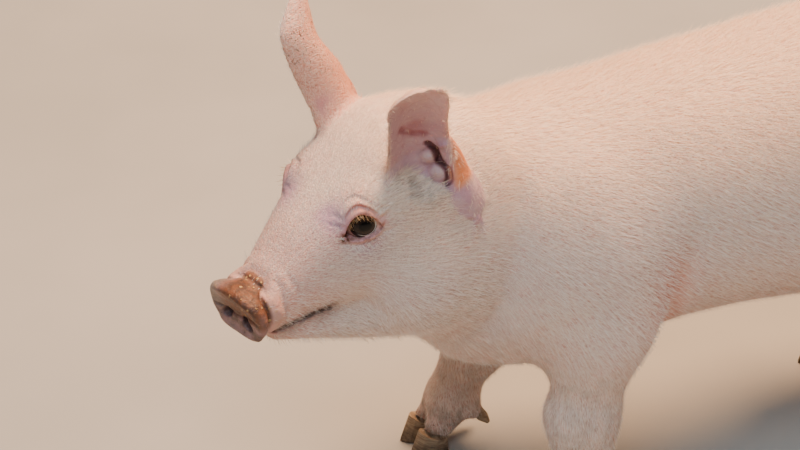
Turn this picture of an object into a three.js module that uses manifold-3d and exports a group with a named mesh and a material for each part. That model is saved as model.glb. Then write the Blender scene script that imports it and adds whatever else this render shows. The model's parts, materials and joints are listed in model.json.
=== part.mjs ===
// A young white pig standing still, life size, in millimetres.
// +Z is up, the head looks towards -X and the pig's left side faces -Y.
// Flesh is described by smooth distance fields, turned into closed meshes and parted by thin flat cuts.
import * as THREE from "three";
import Module from "manifold-3d";

const wasm = await Module();
wasm.setup();

// ---------------------------------------------------------------- driving sizes

const GAP = 0.3; // clear distance between neighbouring pieces
const DEG = Math.PI / 180;
const LEFT = -1; // the sign of Y on the pig's left
const RIGHT = 1;

// The trunk from the chest to the rump: height of the back, height of the underline, half width.
const TRUNK = [
  { x: -132, top: 199, low: 100, half: 36 },
  { x: -108, top: 211, low: 88, half: 44 },
  { x: -80, top: 218.5, low: 85, half: 50 },
  { x: -45, top: 225, low: 93, half: 54 },
  { x: 0, top: 231, low: 97, half: 56 },
  { x: 45, top: 238, low: 96, half: 57 },
  { x: 85, top: 242, low: 101, half: 56 },
  { x: 120, top: 240, low: 116, half: 52 },
  { x: 148, top: 229, low: 140, half: 43 },
];

// The skull and muzzle along the head's own axis, from the occiput to the snout disc.
const SKULL = [
  { x: -6, top: 45, low: -24, half: 33 },
  { x: 14, top: 54, low: -24, half: 37 },
  { x: 34, top: 60, low: -24, half: 37.5 },
  { x: 50, top: 56, low: -20, half: 33.5 },
  { x: 60, top: 50.5, low: -18, half: 30.4 },
  { x: 69, top: 45, low: -17, half: 26.8 },
  { x: 80, top: 37.5, low: -15.5, half: 23.2 },
  { x: 92, top: 29, low: -14, half: 19 },
  { x: 104, top: 20.5, low: -13, half: 16.2 },
  { x: 114, top: 16.5, low: -12.5, half: 15 },
];

// The lower jaw along the same axis.
const JAW = [
  { x: 0, top: -4, low: -46, half: 31 },
  { x: 30, top: -5, low: -50, half: 31 },
  { x: 53, top: -7, low: -46, half: 24 },
  { x: 70, top: -9, low: -39, half: 18.5 },
  { x: 86, top: -10.5, low: -31, half: 14.5 },
  { x: 100, top: -11.5, low: -25, half: 11.5 },
  { x: 109, top: -12.5, low: -21, half: 9 },
];

const HEAD_LENGTH = 122; // back of the skull to the middle of the snout disc
const HEAD_YAW = 23 * DEG; // turned to the pig's left
const HEAD_PITCH = 5 * DEG; // nose down
const DISC_CENTRE = new THREE.Vector3(-252, -55, 171);
// The disc's sections from its root to its face are [part of the depth, part of the full size].
const DISC = {
  halfWidth: 18.8,
  halfHeight: 15.8,
  depth: 11.6,
  lean: 12 * DEG, // its top leans forward
  back: 112.5, // of its root, along the head's axis
  up: 0.8,
  around: 22,
  sections: [[0, 0.87], [0.12, 0.85], [0.32, 0.9], [0.62, 1], [0.82, 0.99], [0.95, 0.9], [0.985, 0.6]],
};
const NOSTRIL = { apart: 7.6, up: -2, wide: 3.1, tall: 2.5, deep: 5, turn: 0.5, narrow: 0.75 };
const EYE = { centre: [65.4, 17.6, 29], radius: 9, axis: [0.463, 0.872, 0.161] };
const LID = { radius: 10.6, halfWidth: 8.6, halfHeight: 5, deep: 5 };
// In the head's x and z; the jaw is parted behind the corner along a line through the two points below it.
const MOUTH = { corner: [84, -8.6], front: [118, -12.2], gape: 0.5, hinge: [-30, -34], foot: [-42, -90], past: 60 };

const EARS = {
  left: {
    front: [[53, 21, 46], [55, 25, 58], [58.5, 30, 75], [60.5, 34, 90], [51, 39.5, 96], [41, 44, 97]],
    rear: [[25, 28, 34], [26, 33, 48], [28.5, 36, 60], [33, 40.5, 75], [37, 44.5, 88], [38.5, 46, 95]],
    depth: [7, 8, 9, 7.5, 5, 2],
    thick: [4.6, 4, 3.4, 3, 2.7, 2.4],
  },
  right: {
    front: [[53, 21, 46], [55.5, 27, 64], [60, 31.5, 83], [60.5, 35, 97], [51, 40, 105], [40, 45.5, 109]],
    rear: [[21, 28, 36], [24, 33, 50], [27.5, 36.5, 65], [35.5, 41, 80], [36.5, 45.5, 93], [36, 47.5, 106]],
    depth: [7, 8, 8, 6.5, 4.5, 1.5],
    thick: [4.6, 4, 3.4, 3, 2.7, 2.4],
  },
};
const EAR_HOLLOW = { centre: [42, 34, 58], radii: [13, 14, 21], tip: 0.15, fillet: 6 }; // the cup's floor in the skull
const EAR_LOBE = {
  front: [[31, 34, 56], [29, 35, 46], [29, 36.5, 36], [29, 38, 28], [25, 39.5, 20], [20, 40, 16.5]],
  rear: [[27, 33, 62], [21, 34, 52], [17, 35, 40], [13.5, 37.5, 29], [13, 39, 21], [17, 40, 16.6]],
  depth: [2, 2, 2.5, 2.5, 1.5, 0.5],
  thick: [3.4, 3.2, 3, 2.8, 2.6, 2.4],
};
const TAIL = {
  path: [[150, 0, 207], [166, 0, 209], [177, 1, 200], [180, 3, 184], [177, 2, 168], [174, -2, 156], [178, -6, 147]],
  radius: [8.5, 7.4, 6, 5, 4.1, 3.2, 2],
  rings: 13,
  around: 10,
};

// Leg joints as points of the pig; toe is the middle of the two claws on the floor.
const FORE = {
  left: { side: LEFT, elbow: [-73, -43, 117], knee: [-77.5, -40, 68], fetlock: [-74, -40, 29], toe: [-81, -40] },
  right: { side: RIGHT, elbow: [-70, 42, 118], knee: [-97, 41, 67], fetlock: [-112, 41, 29], toe: [-125, 41] },
};
const HIND = {
  left: { side: LEFT, stifle: [86, -40, 113], hock: [138, -41, 67], fetlock: [128, -41, 29], toe: [120, -41] },
  right: { side: RIGHT, stifle: [74, 40, 113], hock: [118, 41, 67], fetlock: [104, 41, 29], toe: [96, 41] },
};
const KNEE_CUT = 54; // height of the cut under the knee and the hock
const LEG_TOP = 140; // the legs' own flesh is looked for below this height
const CLAW = {
  apart: 6.8, length: 21, width: 13, heel: 8.5, front: 15.5, lean: 3.2,
  narrowing: 0.32, // of the toe
  innerSide: 0.8, // how far the inner wall bulges, beside the outer one
  taper: 0.12, // from the sole to the crown
  levels: [0, 0.12, 0.55, 1],
  around: 14,
};
// From the fetlock: the root's way back, its part of the spread and its drop; sections are [along, size].
const DEWCLAW = {
  apart: 8, length: 14.25, radius: 3.4, around: 8,
  back: 8, spread: 0.86, drop: 4,
  axis: [0.62, 0.16, -0.77],
  sections: [[0, 1], [0.7, 0.85], [1, 0.35]],
};

// The soft masses: an ellipsoid is a centre, radii and a tip; a limb is its radii at both ends and a flatness.
const CHEEK = { centre: [33, 24, -12], radii: [30, 18, 30] };
const BROW = { centre: [61, 18, 35], radii: [13, 8.5, 8] };
const RUMP = { centre: [124, 0, 182], radii: [48, 50, 54] };
const NECK = { from: [-84, 0, 158], to: [12, 0, 10], radii: [50, 40], flat: 0.9 }; // to a point of the head
const THROAT = { from: [-116, 0, 127], to: [34, 0, -23], radii: [41, 25], flat: 0.9 };
const SHOULDER = { centre: [-82, 30, 154], radii: [33, 20, 44], tip: -0.25 };
const UPPER_ARM = { from: [-86, 36, 140], radii: [28, 21], flat: 0.72 };
const HAM = { centre: [112, 28, 166], radii: [45, 26, 54], tip: 0.2 };
const THIGH = { from: [106, 34, 146], radii: [35, 23], flat: 0.7 };
const FORELEG = {
  forearm: { radii: [20.5, 17], flat: 0.78 },
  knee: { from: [-1.5, -3], to: [-0.5, -10], radii: [17.2, 16], flat: 0.82 }, // x and z from the joint
  cannon: { radii: [14.8, 12.8], flat: 0.83 },
};
const HINDLEG = {
  gaskin: { radii: [25, 13], flat: 0.74 },
  hock: { from: [5, 6], to: [-3, -12], radii: [11, 12.4], flat: 0.85 },
  cannon: { radii: [12.4, 11.4], flat: 0.85 },
};
// From the fetlock in x, across and z; the dew digit ends inside the root of its claw.
const DIGIT = { from: [0, 4, -3], past: [2.5, 2], radii: [9, 7.6], flat: 0.72 };
const DEW_DIGIT = { from: [5, 5, -1], to: [10, 7.2, -8], radii: [5.6, 4] };
// The fillets between them.
const FILLET = {
  cheek: 12, brow: 8, jaw: 5, head: 14, neck: 24, throat: 20, rump: 24, shoulder: 22, ham: 24, leg: 14,
  arm: 16, thigh: 22, joint: 6, cannon: 8, foot: 8, dew: 4, toes: 2,
};

// Where the trunk, the neck and the legs are parted.
const NECK_CUT = { point: [-106, 0, 190], normal: [-0.86, -0.12, 0.5] };
const HEAD_CUT = 9; // along the head's axis
const CHEST_CUT = -36;
const RUMP_CUT = 64;
const FORE_CUT = { inner: 17, height: 84, rise: 0.95, from: -175, to: -6 };
const HIND_CUT = { inner: 15, height: 94, rise: 0.4, from: 34, to: 190 };
const LEG_ROOM = { middle: 3, outer: 120, below: -30, dip: 26 }; // of both cuts, in y and z

// The boxes in which each stretch of flesh is looked for: the lowest and the highest corner.
const ROOM = {
  head: [[-250, -66, 120], [-112, 44, 262]],
  jaw: [[-252, -62, 128], [-170, -10, 176]],
  neck: [[-180, -62, 92], [-84, 52, 242]],
  chest: [[-160, -76, 70], [CHEST_CUT, 76, 232]],
  barrel: [[CHEST_CUT, -76, 70], [RUMP_CUT, 76, 250]],
  rump: [[RUMP_CUT, -76, 70], [182, 76, 250]],
};

// Sizes of the faces.
const CELL = { head: 5.5, jaw: 5.5, neck: 10, chest: 11.5, barrel: 14, rump: 12, upper: 9, lower: 6.4 };

const SKIN = { color: 0xe8bfae, roughness: 0.75 };
const NOSE = { color: 0xb07a6c, roughness: 0.55 };
const EAR_SKIN = { color: 0xdfa9a3, roughness: 0.7 };
const HORN = { color: 0xb9a48c, roughness: 0.5 };
const EYEBALL = { color: 0x2a1c16, roughness: 0.08 };

// ---------------------------------------------------------------- distance fields

/** Joins two fields with a fillet of about k. */
function blend(a, b, k) {
  const h = Math.max(k - Math.abs(a - b), 0) / k;
  return Math.min(a, b) - h * h * k * 0.25;
}

/** Joins any number of fields: the first as it is, the others each given as [field, fillet]. */
function joined(first, ...others) {
  return (x, y, z) => {
    let d = first(x, y, z);
    for (const [field, fillet] of others) d = blend(d, field(x, y, z), fillet);
    return d;
  };
}

/** An ellipsoid, tipped about Y by the given angle. */
function ellipsoid([cx, cy, cz], [rx, ry, rz], tip = 0) {
  const c = Math.cos(tip);
  const s = Math.sin(tip);
  return (x, y, z) => {
    const dx = x - cx;
    const dz = z - cz;
    const a = (c * dx - s * dz) / rx;
    const b = (y - cy) / ry;
    const e = (s * dx + c * dz) / rz;
    const k = Math.hypot(a, b, e);
    return (k * (k - 1)) / (Math.hypot(a / rx, b / ry, e / rz) + 1e-9);
  };
}

/** A straight limb from a to b, of radius ra and rb seen from the side and thinner across by flat. */
function limb([ax, ay, az], [bx, by, bz], ra, rb, flat = 1) {
  const dx = bx - ax;
  const dy = by - ay;
  const dz = bz - az;
  const whole = dx * dx + dy * dy + dz * dz;
  return (x, y, z) => {
    const px = x - ax;
    const py = y - ay;
    const pz = z - az;
    const t = Math.min(1, Math.max(0, (px * dx + py * dy + pz * dz) / whole));
    const across = (py - dy * t) / flat;
    return (Math.hypot(px - dx * t, across, pz - dz * t) - ra - (rb - ra) * t) * flat;
  };
}

/** The stations' values at x on a smooth curve, held level past both ends. */
function follow(stations, x) {
  const last = stations.length - 1;
  if (x <= stations[0].x) return stations[0];
  if (x >= stations[last].x) return stations[last];
  let i = 0;
  while (x > stations[i + 1].x) i++;
  const from = stations[i];
  const to = stations[i + 1];
  const before = stations[Math.max(0, i - 1)];
  const after = stations[Math.min(last, i + 2)];
  const width = to.x - from.x;
  const t = (x - from.x) / width;
  const value = (key) => {
    const m0 = ((to[key] - before[key]) / (to.x - before.x)) * width;
    const m1 = ((after[key] - from[key]) / (after.x - from.x)) * width;
    const a = 2 * (from[key] - to[key]) + m0 + m1;
    const b = 3 * (to[key] - from[key]) - 2 * m0 - m1;
    return ((a * t + b) * t + m0) * t + from[key];
  };
  return { top: value("top"), low: value("low"), half: value("half") };
}

/** A long form along x whose section is a rounded box of the stations' top, low and half width. */
function tube(stations, power) {
  const first = stations[0].x;
  const last = stations[stations.length - 1].x;
  return (x, y, z) => {
    const { top, low, half } = follow(stations, x);
    const tall = (top - low) / 2;
    const dz = z - (top + low) / 2;
    const r = Math.hypot(y, dz);
    const q = (Math.abs(y / half) ** power + Math.abs(dz / tall) ** power) ** (1 / power);
    const side = r < 1e-6 ? -Math.min(half, tall) : r - r / q;
    const past = Math.max(first - x, x - last);
    return past > 0 ? Math.hypot(Math.max(side, 0), past) + Math.min(side, 0) * 0.1 : Math.max(side, past);
  };
}

/** The same form on both sides of the middle plane. */
const paired = (field) => (x, y, z) => field(x, Math.abs(y), z);

// ---------------------------------------------------------------- the head's own frame

const forward = new THREE.Vector3(
  -Math.cos(HEAD_YAW) * Math.cos(HEAD_PITCH),
  -Math.sin(HEAD_YAW) * Math.cos(HEAD_PITCH),
  -Math.sin(HEAD_PITCH),
);
const leftward = new THREE.Vector3(Math.sin(HEAD_YAW), -Math.cos(HEAD_YAW), 0);
const upward = new THREE.Vector3().crossVectors(forward, leftward);
const headOrigin = DISC_CENTRE.clone().addScaledVector(forward, -HEAD_LENGTH);
const headToPig = new THREE.Matrix4().makeBasis(forward, leftward, upward).setPosition(headOrigin);

/** A point of the head in the pig's frame. */
const headPoint = (x, y, z) => new THREE.Vector3(x, y, z).applyMatrix4(headToPig).toArray();

/** Moves a field written in the head's frame into the pig's. */
function onHead(field) {
  const m = headToPig.clone().invert().elements;
  return (x, y, z) =>
    field(
      m[0] * x + m[4] * y + m[8] * z + m[12],
      m[1] * x + m[5] * y + m[9] * z + m[13],
      m[2] * x + m[6] * y + m[10] * z + m[14],
    );
}

const headField = onHead(joined(
  tube(SKULL, 2.35),
  [paired(ellipsoid(CHEEK.centre, CHEEK.radii)), FILLET.cheek],
  [paired(ellipsoid(BROW.centre, BROW.radii)), FILLET.brow],
  [tube(JAW, 2.1), FILLET.jaw],
));
const earHollow = onHead(paired(ellipsoid(EAR_HOLLOW.centre, EAR_HOLLOW.radii, EAR_HOLLOW.tip)));

// ---------------------------------------------------------------- the body and the legs

const mirrored = ([x, y, z], side) => [x, side * y, z];

/** The limb of the given radii and flatness between two points. */
const limbOf = ({ radii, flat }, from, to) => limb(from, to, ...radii, flat);

/** The shoulder, from the top of the blade to the elbow. */
function shoulder({ side, elbow }) {
  return joined(
    ellipsoid(mirrored(SHOULDER.centre, side), SHOULDER.radii, SHOULDER.tip),
    [limbOf(UPPER_ARM, mirrored(UPPER_ARM.from, side), elbow), FILLET.arm],
  );
}

/** The ham and thigh, down to the stifle. */
function ham({ side, stifle }) {
  return joined(
    ellipsoid(mirrored(HAM.centre, side), HAM.radii, HAM.tip),
    [limbOf(THIGH, mirrored(THIGH.from, side), stifle), FILLET.thigh],
  );
}

/** The two digits above the claws and the two that carry the dewclaws. */
function digits({ fetlock: [fx, fy, fz], toe: [tx, ty] }) {
  const near = ([x, y, z], s) => [fx + x, fy + s * y, fz + z];
  const end = (s) => [tx + DIGIT.past[0], ty + s * CLAW.apart, CLAW.heel + DIGIT.past[1]];
  const one = (s) =>
    joined(
      limbOf(DIGIT, near(DIGIT.from, s), end(s)),
      [limbOf(DEW_DIGIT, near(DEW_DIGIT.from, s), near(DEW_DIGIT.to, s)), FILLET.dew],
    );
  return joined(one(-1), [one(1), FILLET.toes]);
}

/** The swelling at a knee or a hock. */
function swelling(shape, [x, y, z]) {
  const at = ([dx, dz]) => [x + dx, y, z + dz];
  return limbOf(shape, at(shape.from), at(shape.to));
}

/** A foreleg below the elbow. */
function foreleg(leg) {
  const { elbow, knee, fetlock } = leg;
  return joined(
    limbOf(FORELEG.forearm, elbow, knee),
    [swelling(FORELEG.knee, knee), FILLET.joint],
    [limbOf(FORELEG.cannon, knee, fetlock), FILLET.cannon],
    [digits(leg), FILLET.foot],
  );
}

/** A hind leg below the stifle. */
function hindleg(leg) {
  const { stifle, hock, fetlock } = leg;
  return joined(
    limbOf(HINDLEG.gaskin, stifle, hock),
    [swelling(HINDLEG.hock, hock), FILLET.joint],
    [limbOf(HINDLEG.cannon, hock, fetlock), FILLET.cannon],
    [digits(leg), FILLET.foot],
  );
}

const legs = [FORE.left, FORE.right, HIND.left, HIND.right];
const legField = new Map(legs.map((leg) => [leg, leg.elbow ? foreleg(leg) : hindleg(leg)]));

const trunkField = joined(
  tube(TRUNK, 2.15),
  [ellipsoid(RUMP.centre, RUMP.radii), FILLET.rump],
  [limbOf(NECK, NECK.from, headPoint(...NECK.to)), FILLET.neck],
  [limbOf(THROAT, THROAT.from, headPoint(...THROAT.to)), FILLET.throat],
  [shoulder(FORE.left), FILLET.shoulder],
  [shoulder(FORE.right), FILLET.shoulder],
  [ham(HIND.left), FILLET.ham],
  [ham(HIND.right), FILLET.ham],
);
const legFields = legs.map((leg) => [legField.get(leg), FILLET.leg]);
const wholeField = joined(trunkField, [headField, FILLET.head], ...legFields);
const pigField = (x, y, z) => -blend(-wholeField(x, y, z), earHollow(x, y, z), EAR_HOLLOW.fillet);

// ---------------------------------------------------------------- fields into closed meshes

/** Fills in the corners that would pinch the surface, so that it stays one plain skin. */
function fillPinches(inside, [nx, ny, nz]) {
  const at = (i, j, k) => i + nx * (j + ny * k);
  const planes = [[[1, 0, 0], [0, 1, 0]], [[0, 1, 0], [0, 0, 1]], [[0, 0, 1], [1, 0, 0]]];
  for (let again = true; again; ) {
    again = false;
    for (let k = 0; k < nz - 1; k++)
      for (let j = 0; j < ny - 1; j++)
        for (let i = 0; i < nx - 1; i++) {
          for (const [u, v] of planes) {
            const a = at(i, j, k), b = at(i + u[0], j + u[1], k + u[2]);
            const c = at(i + v[0], j + v[1], k + v[2]);
            const d = at(i + u[0] + v[0], j + u[1] + v[1], k + u[2] + v[2]);
            if (inside[a] === inside[d] && inside[b] === inside[c] && inside[a] !== inside[b]) {
              inside[inside[a] ? b : a] = 1;
              again = true;
            }
          }
          for (let corner = 0; corner < 4; corner++) {
            const p = at(i + (corner & 1), j + (corner >> 1), k);
            const q = at(i + 1 - (corner & 1), j + 1 - (corner >> 1), k + 1);
            let count = 0;
            for (let n = 0; n < 8; n++) count += inside[at(i + (n & 1), j + ((n >> 1) & 1), k + (n >> 2))];
            const alone = inside[p] === inside[q] && count === (inside[p] ? 2 : 6);
            if (alone) {
              inside[inside[p] ? at(i + 1 - (corner & 1), j + (corner >> 1), k) : p] = 1;
              again = true;
            }
          }
        }
  }
}

/** The solid inside a field and a box, with faces of about the cell's size. */
function surfaceOf(field, low, high, cell) {
  const n = [0, 1, 2].map((axis) => Math.ceil((high[axis] - low[axis]) / cell) + 1);
  const at = (i, j, k) => i + n[0] * (j + n[1] * k);
  const value = new Float64Array(n[0] * n[1] * n[2]);
  const inside = new Uint8Array(value.length);
  for (let k = 0; k < n[2]; k++)
    for (let j = 0; j < n[1]; j++)
      for (let i = 0; i < n[0]; i++) {
        const edge = !i || !j || !k || i === n[0] - 1 || j === n[1] - 1 || k === n[2] - 1;
        const d = field(low[0] + i * cell, low[1] + j * cell, low[2] + k * cell);
        value[at(i, j, k)] = edge ? Math.max(d, cell / 2) : d;
        inside[at(i, j, k)] = value[at(i, j, k)] < 0 ? 1 : 0;
      }
  fillPinches(inside, n);
  value.forEach((d, i) => {
    if (inside[i] && d >= 0) value[i] = -cell * 0.05;
  });

  const points = [];
  const faces = [];
  const known = new Map();
  const vertex = (cornerOfCell) => {
    const key = at(...cornerOfCell);
    if (known.has(key)) return known.get(key);
    const sum = [0, 0, 0];
    let crossings = 0;
    for (let axis = 0; axis < 3; axis++)
      for (let side = 0; side < 4; side++) {
        const p = [...cornerOfCell];
        p[(axis + 1) % 3] += side & 1;
        p[(axis + 2) % 3] += side >> 1;
        const q = [...p];
        q[axis] += 1;
        const a = value[at(...p)];
        const b = value[at(...q)];
        if (a < 0 === b < 0) continue;
        p[axis] += a / (a - b);
        p.forEach((c, m) => (sum[m] += c));
        crossings++;
      }
    known.set(key, points.length / 3);
    points.push(...sum.map((c, m) => low[m] + (c / crossings) * cell));
    return points.length / 3 - 1;
  };
  for (let k = 0; k < n[2] - 1; k++)
    for (let j = 0; j < n[1] - 1; j++)
      for (let i = 0; i < n[0] - 1; i++)
        for (let axis = 0; axis < 3; axis++) {
          const next = [i, j, k];
          next[axis]++;
          const here = inside[at(i, j, k)];
          if (here === inside[at(...next)]) continue;
          const ring = [[0, 0], [1, 0], [1, 1], [0, 1]].map(([s, t]) => {
            const corner = [i, j, k];
            corner[(axis + 1) % 3] -= s;
            corner[(axis + 2) % 3] -= t;
            return vertex(corner);
          });
          if (!here) ring.reverse();
          faces.push(ring[0], ring[1], ring[2], ring[0], ring[2], ring[3]);
        }
  settle(points, faces, field, cell);
  return solidOf(points, faces);
}

/** Evens out the vertices along the surface and puts each one exactly on it. */
function settle(points, faces, field, cell) {
  const step = 0.2;
  for (const evening of [0.5, 0.5, 0]) {
    const sum = new Float64Array(points.length);
    const count = new Float64Array(points.length / 3);
    faces.forEach((a, f) => {
      const b = faces[f % 3 === 2 ? f - 2 : f + 1];
      for (let m = 0; m < 3; m++) sum[a * 3 + m] += points[b * 3 + m];
      count[a]++;
    });
    for (let v = 0; v < points.length; v += 3) {
      for (let m = v; m < v + 3; m++) points[m] += (sum[m] / count[v / 3] - points[m]) * evening;
      for (let pull = 0; pull < 3; pull++) {
        const [x, y, z] = points.slice(v, v + 3);
        const d = field(x, y, z);
        if (Math.abs(d) > cell) continue;
        const g = [
          (field(x + step, y, z) - field(x - step, y, z)) / (2 * step),
          (field(x, y + step, z) - field(x, y - step, z)) / (2 * step),
          (field(x, y, z + step) - field(x, y, z - step)) / (2 * step),
        ];
        const move = Math.max(-cell / 2, Math.min(cell / 2, d)) / Math.max(g[0] ** 2 + g[1] ** 2 + g[2] ** 2, 0.25);
        g.forEach((c, m) => (points[v + m] -= c * move));
      }
    }
  }
}

/** A closed form through rings of equally many points, closed by a fan at both ends. */
function loft(rings) {
  const size = rings[0].length;
  const points = rings.flat().map((p) => p.toArray()).flat();
  const faces = [];
  for (let r = 0; r + 1 < rings.length; r++)
    for (let i = 0; i < size; i++) {
      const a = r * size + i;
      const b = r * size + ((i + 1) % size);
      faces.push(a, b, b + size, a, b + size, a + size);
    }
  for (const [ring, flip] of [[0, true], [rings.length - 1, false]]) {
    const middle = new THREE.Vector3();
    rings[ring].forEach((p) => middle.addScaledVector(p, 1 / size));
    points.push(...middle.toArray());
    const centre = points.length / 3 - 1;
    for (let i = 0; i < size; i++) {
      const a = ring * size + i;
      const b = ring * size + ((i + 1) % size);
      faces.push(...(flip ? [centre, b, a] : [centre, a, b]));
    }
  }
  const geometry = new THREE.BufferGeometry();
  geometry.setAttribute("position", new THREE.Float32BufferAttribute(points, 3));
  geometry.setIndex(faces);
  return outward(geometry);
}

/** Turns the faces over where a closed form has come out inside out. */
function outward(geometry) {
  const p = geometry.attributes.position;
  const index = geometry.index?.array ?? Array.from({ length: p.count }, (_, i) => i);
  const [a, b, c] = [new THREE.Vector3(), new THREE.Vector3(), new THREE.Vector3()];
  let volume = 0;
  for (let t = 0; t < index.length; t += 3) {
    a.fromBufferAttribute(p, index[t]);
    b.fromBufferAttribute(p, index[t + 1]);
    c.fromBufferAttribute(p, index[t + 2]);
    volume += a.dot(b.cross(c));
  }
  if (volume < 0) geometry.setIndex(Array.from(index).reverse());
  return geometry;
}

// ---------------------------------------------------------------- solids and cuts

/** Indexed points and faces as a solid that can be joined and cut. */
function solidOf(points, faces) {
  return new wasm.Manifold(new wasm.Mesh({
    numProp: 3,
    vertProperties: new Float32Array(points),
    triVerts: new Uint32Array(faces),
  }));
}

/** A geometry as a solid, its doubled seam points made one. */
function solid(geometry) {
  const p = geometry.attributes.position;
  const index = geometry.index?.array ?? Array.from({ length: p.count }, (_, i) => i);
  const seen = new Map();
  const points = [];
  const weld = Array.from({ length: p.count }, (_, i) => {
    const at = [p.getX(i), p.getY(i), p.getZ(i)];
    const key = at.map((c) => Math.round(c * 1e4)).join();
    if (!seen.has(key)) {
      seen.set(key, points.length / 3);
      points.push(...at);
    }
    return seen.get(key);
  });
  const faces = [];
  for (let t = 0; t < index.length; t += 3) {
    const [a, b, c] = [weld[index[t]], weld[index[t + 1]], weld[index[t + 2]]];
    if (a !== b && b !== c && c !== a) faces.push(a, b, c);
  }
  return solidOf(points, faces);
}

/** Everything on the side of a plane that its normal points to, kept clear of the plane by half a gap. */
function beyond(point, normal) {
  const reach = 700;
  const box = new THREE.BoxGeometry(reach, reach, reach);
  const n = new THREE.Vector3(...normal).normalize();
  const turn = new THREE.Quaternion().setFromUnitVectors(new THREE.Vector3(0, 0, 1), n);
  const middle = new THREE.Vector3(...point).addScaledVector(n, reach / 2 + GAP / 2);
  return solid(box.applyQuaternion(turn).translate(...middle.toArray()));
}

const reversed = (vector) => vector.map((c) => -c);

/** A flat outline in two of the axes, drawn out along the third. */
function prism(outline, from, to, place) {
  const shape = new THREE.Shape(outline.map(([a, b]) => new THREE.Vector2(a, b)));
  const geometry = new THREE.ExtrudeGeometry(shape, { depth: to - from, bevelEnabled: false });
  return solid(outward(geometry.translate(0, 0, from).applyMatrix4(place)));
}

/** An ellipsoid as a solid of the head, its first axis along the given direction. */
function headBall(centre, [a, b, c], axis, segments) {
  const along = new THREE.Vector3(...axis).normalize();
  const side = new THREE.Vector3(0, 0, 1).cross(along).normalize();
  const basis = new THREE.Matrix4().makeBasis(along, side, new THREE.Vector3().crossVectors(along, side));
  const ball = new THREE.SphereGeometry(1, segments, Math.round(segments * 0.6)).scale(a, b, c);
  return solid(ball.applyMatrix4(basis).translate(...centre).applyMatrix4(headToPig));
}

/** The one largest closed body of a solid, as a geometry. */
function geometryOf(whole) {
  const bodies = whole.decompose().sort((a, b) => b.volume() - a.volume());
  const { vertProperties, triVerts, numProp } = bodies[0].getMesh();
  const points = [];
  for (let i = 0; i < vertProperties.length; i += numProp) points.push(...vertProperties.slice(i, i + 3));
  const geometry = new THREE.BufferGeometry();
  geometry.setAttribute("position", new THREE.Float32BufferAttribute(points, 3));
  geometry.setIndex(Array.from(triVerts));
  return geometry;
}

/** The flesh of a field inside a box, a little past the box on every side. */
function flesh(field, [low, high], cell) {
  const spare = cell * 2.5;
  return surfaceOf(field, low.map((c) => c - spare), high.map((c) => c + spare), cell);
}

const pig = new THREE.Group();

/** Adds one named piece to the pig. */
function add(name, whole, look) {
  const mesh = new THREE.Mesh(geometryOf(whole), new THREE.MeshStandardMaterial({ metalness: 0, ...look }));
  mesh.name = name;
  pig.add(mesh);
}

// ---------------------------------------------------------------- the head

const behindDisc = beyond(headPoint(DISC.back - GAP / 2, 0, 0), forward.clone().negate().toArray());
const beforeNeck = beyond(headPoint(HEAD_CUT, 0, 0), forward.toArray());
const neckSide = beyond(NECK_CUT.point, NECK_CUT.normal);
const alongY = new THREE.Matrix4().makeBasis(
  new THREE.Vector3(1, 0, 0),
  new THREE.Vector3(0, 0, 1),
  new THREE.Vector3(0, -1, 0),
);

/** The wedge that holds the lower jaw, widened by the given clearance. */
function jawWedge(clear) {
  const [[cx, cz], [fx, fz]] = [MOUTH.corner, MOUTH.front];
  const slope = (fz - cz) / (fx - cx);
  const outline = [
    [cx - clear, cz + clear],
    [cx + MOUTH.past, cz + MOUTH.past * slope + clear],
    [cx + MOUTH.past, MOUTH.foot[1]],
    [cx + MOUTH.foot[0] - clear, MOUTH.foot[1]],
    [cx + MOUTH.hinge[0] - clear, cz + MOUTH.hinge[1]],
  ];
  return prism(outline, -MOUTH.past, MOUTH.past, headToPig.clone().multiply(alongY));
}

/** All the flesh about the head, its field grown by the given clearance. */
const headFlesh = (clear) =>
  flesh((x, y, z) => pigField(x, y, z) - clear, ROOM.head, CELL.head);

const skull = headFlesh(0);
const underEars = headFlesh(GAP).add(skull);

function makeHead() {
  let head = skull.intersect(beforeNeck).intersect(neckSide).intersect(behindDisc);
  for (const side of [1, -1]) {
    const centre = mirrored(EYE.centre, side);
    const axis = mirrored(EYE.axis, side);
    const opening = centre.map((c, m) => c + axis[m] * EYE.radius);
    head = head
      .add(headBall(centre, [LID.radius, LID.radius, LID.radius], axis, 16))
      .subtract(headBall(centre, Array(3).fill(EYE.radius + GAP), axis, 16))
      .subtract(headBall(opening, [LID.deep, LID.halfWidth, LID.halfHeight], axis, 14));
  }
  return head;
}

/** One eyeball; side is +1 on the pig's left in the head's own frame. */
function makeEye(side) {
  return headBall(mirrored(EYE.centre, side), Array(3).fill(EYE.radius), mirrored(EYE.axis, side), 16);
}

/** The snout disc with its collar, its leaning face and both nostrils. */
function makeDisc() {
  const rings = DISC.sections.map(([along, size]) =>
    Array.from({ length: DISC.around }, (_, i) => {
      const angle = (i / DISC.around) * 2 * Math.PI;
      const z = Math.sin(angle) * DISC.halfHeight * size;
      const x = DISC.back + along * (DISC.depth + Math.tan(DISC.lean) * z);
      return new THREE.Vector3(x, Math.cos(angle) * DISC.halfWidth * size, z + DISC.up);
    }));
  let disc = solid(loft(rings).applyMatrix4(headToPig));
  for (const side of [1, -1]) {
    const hole = new THREE.CylinderGeometry(1, NOSTRIL.narrow, DISC.depth, 12).rotateZ(-Math.PI / 2);
    hole.scale(1, NOSTRIL.wide, NOSTRIL.tall).rotateX(side * NOSTRIL.turn);
    hole.translate(DISC.back + 1.5 * DISC.depth - NOSTRIL.deep, side * NOSTRIL.apart, NOSTRIL.up);
    disc = disc.subtract(solid(hole.applyMatrix4(headToPig)));
  }
  return disc;
}

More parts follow.
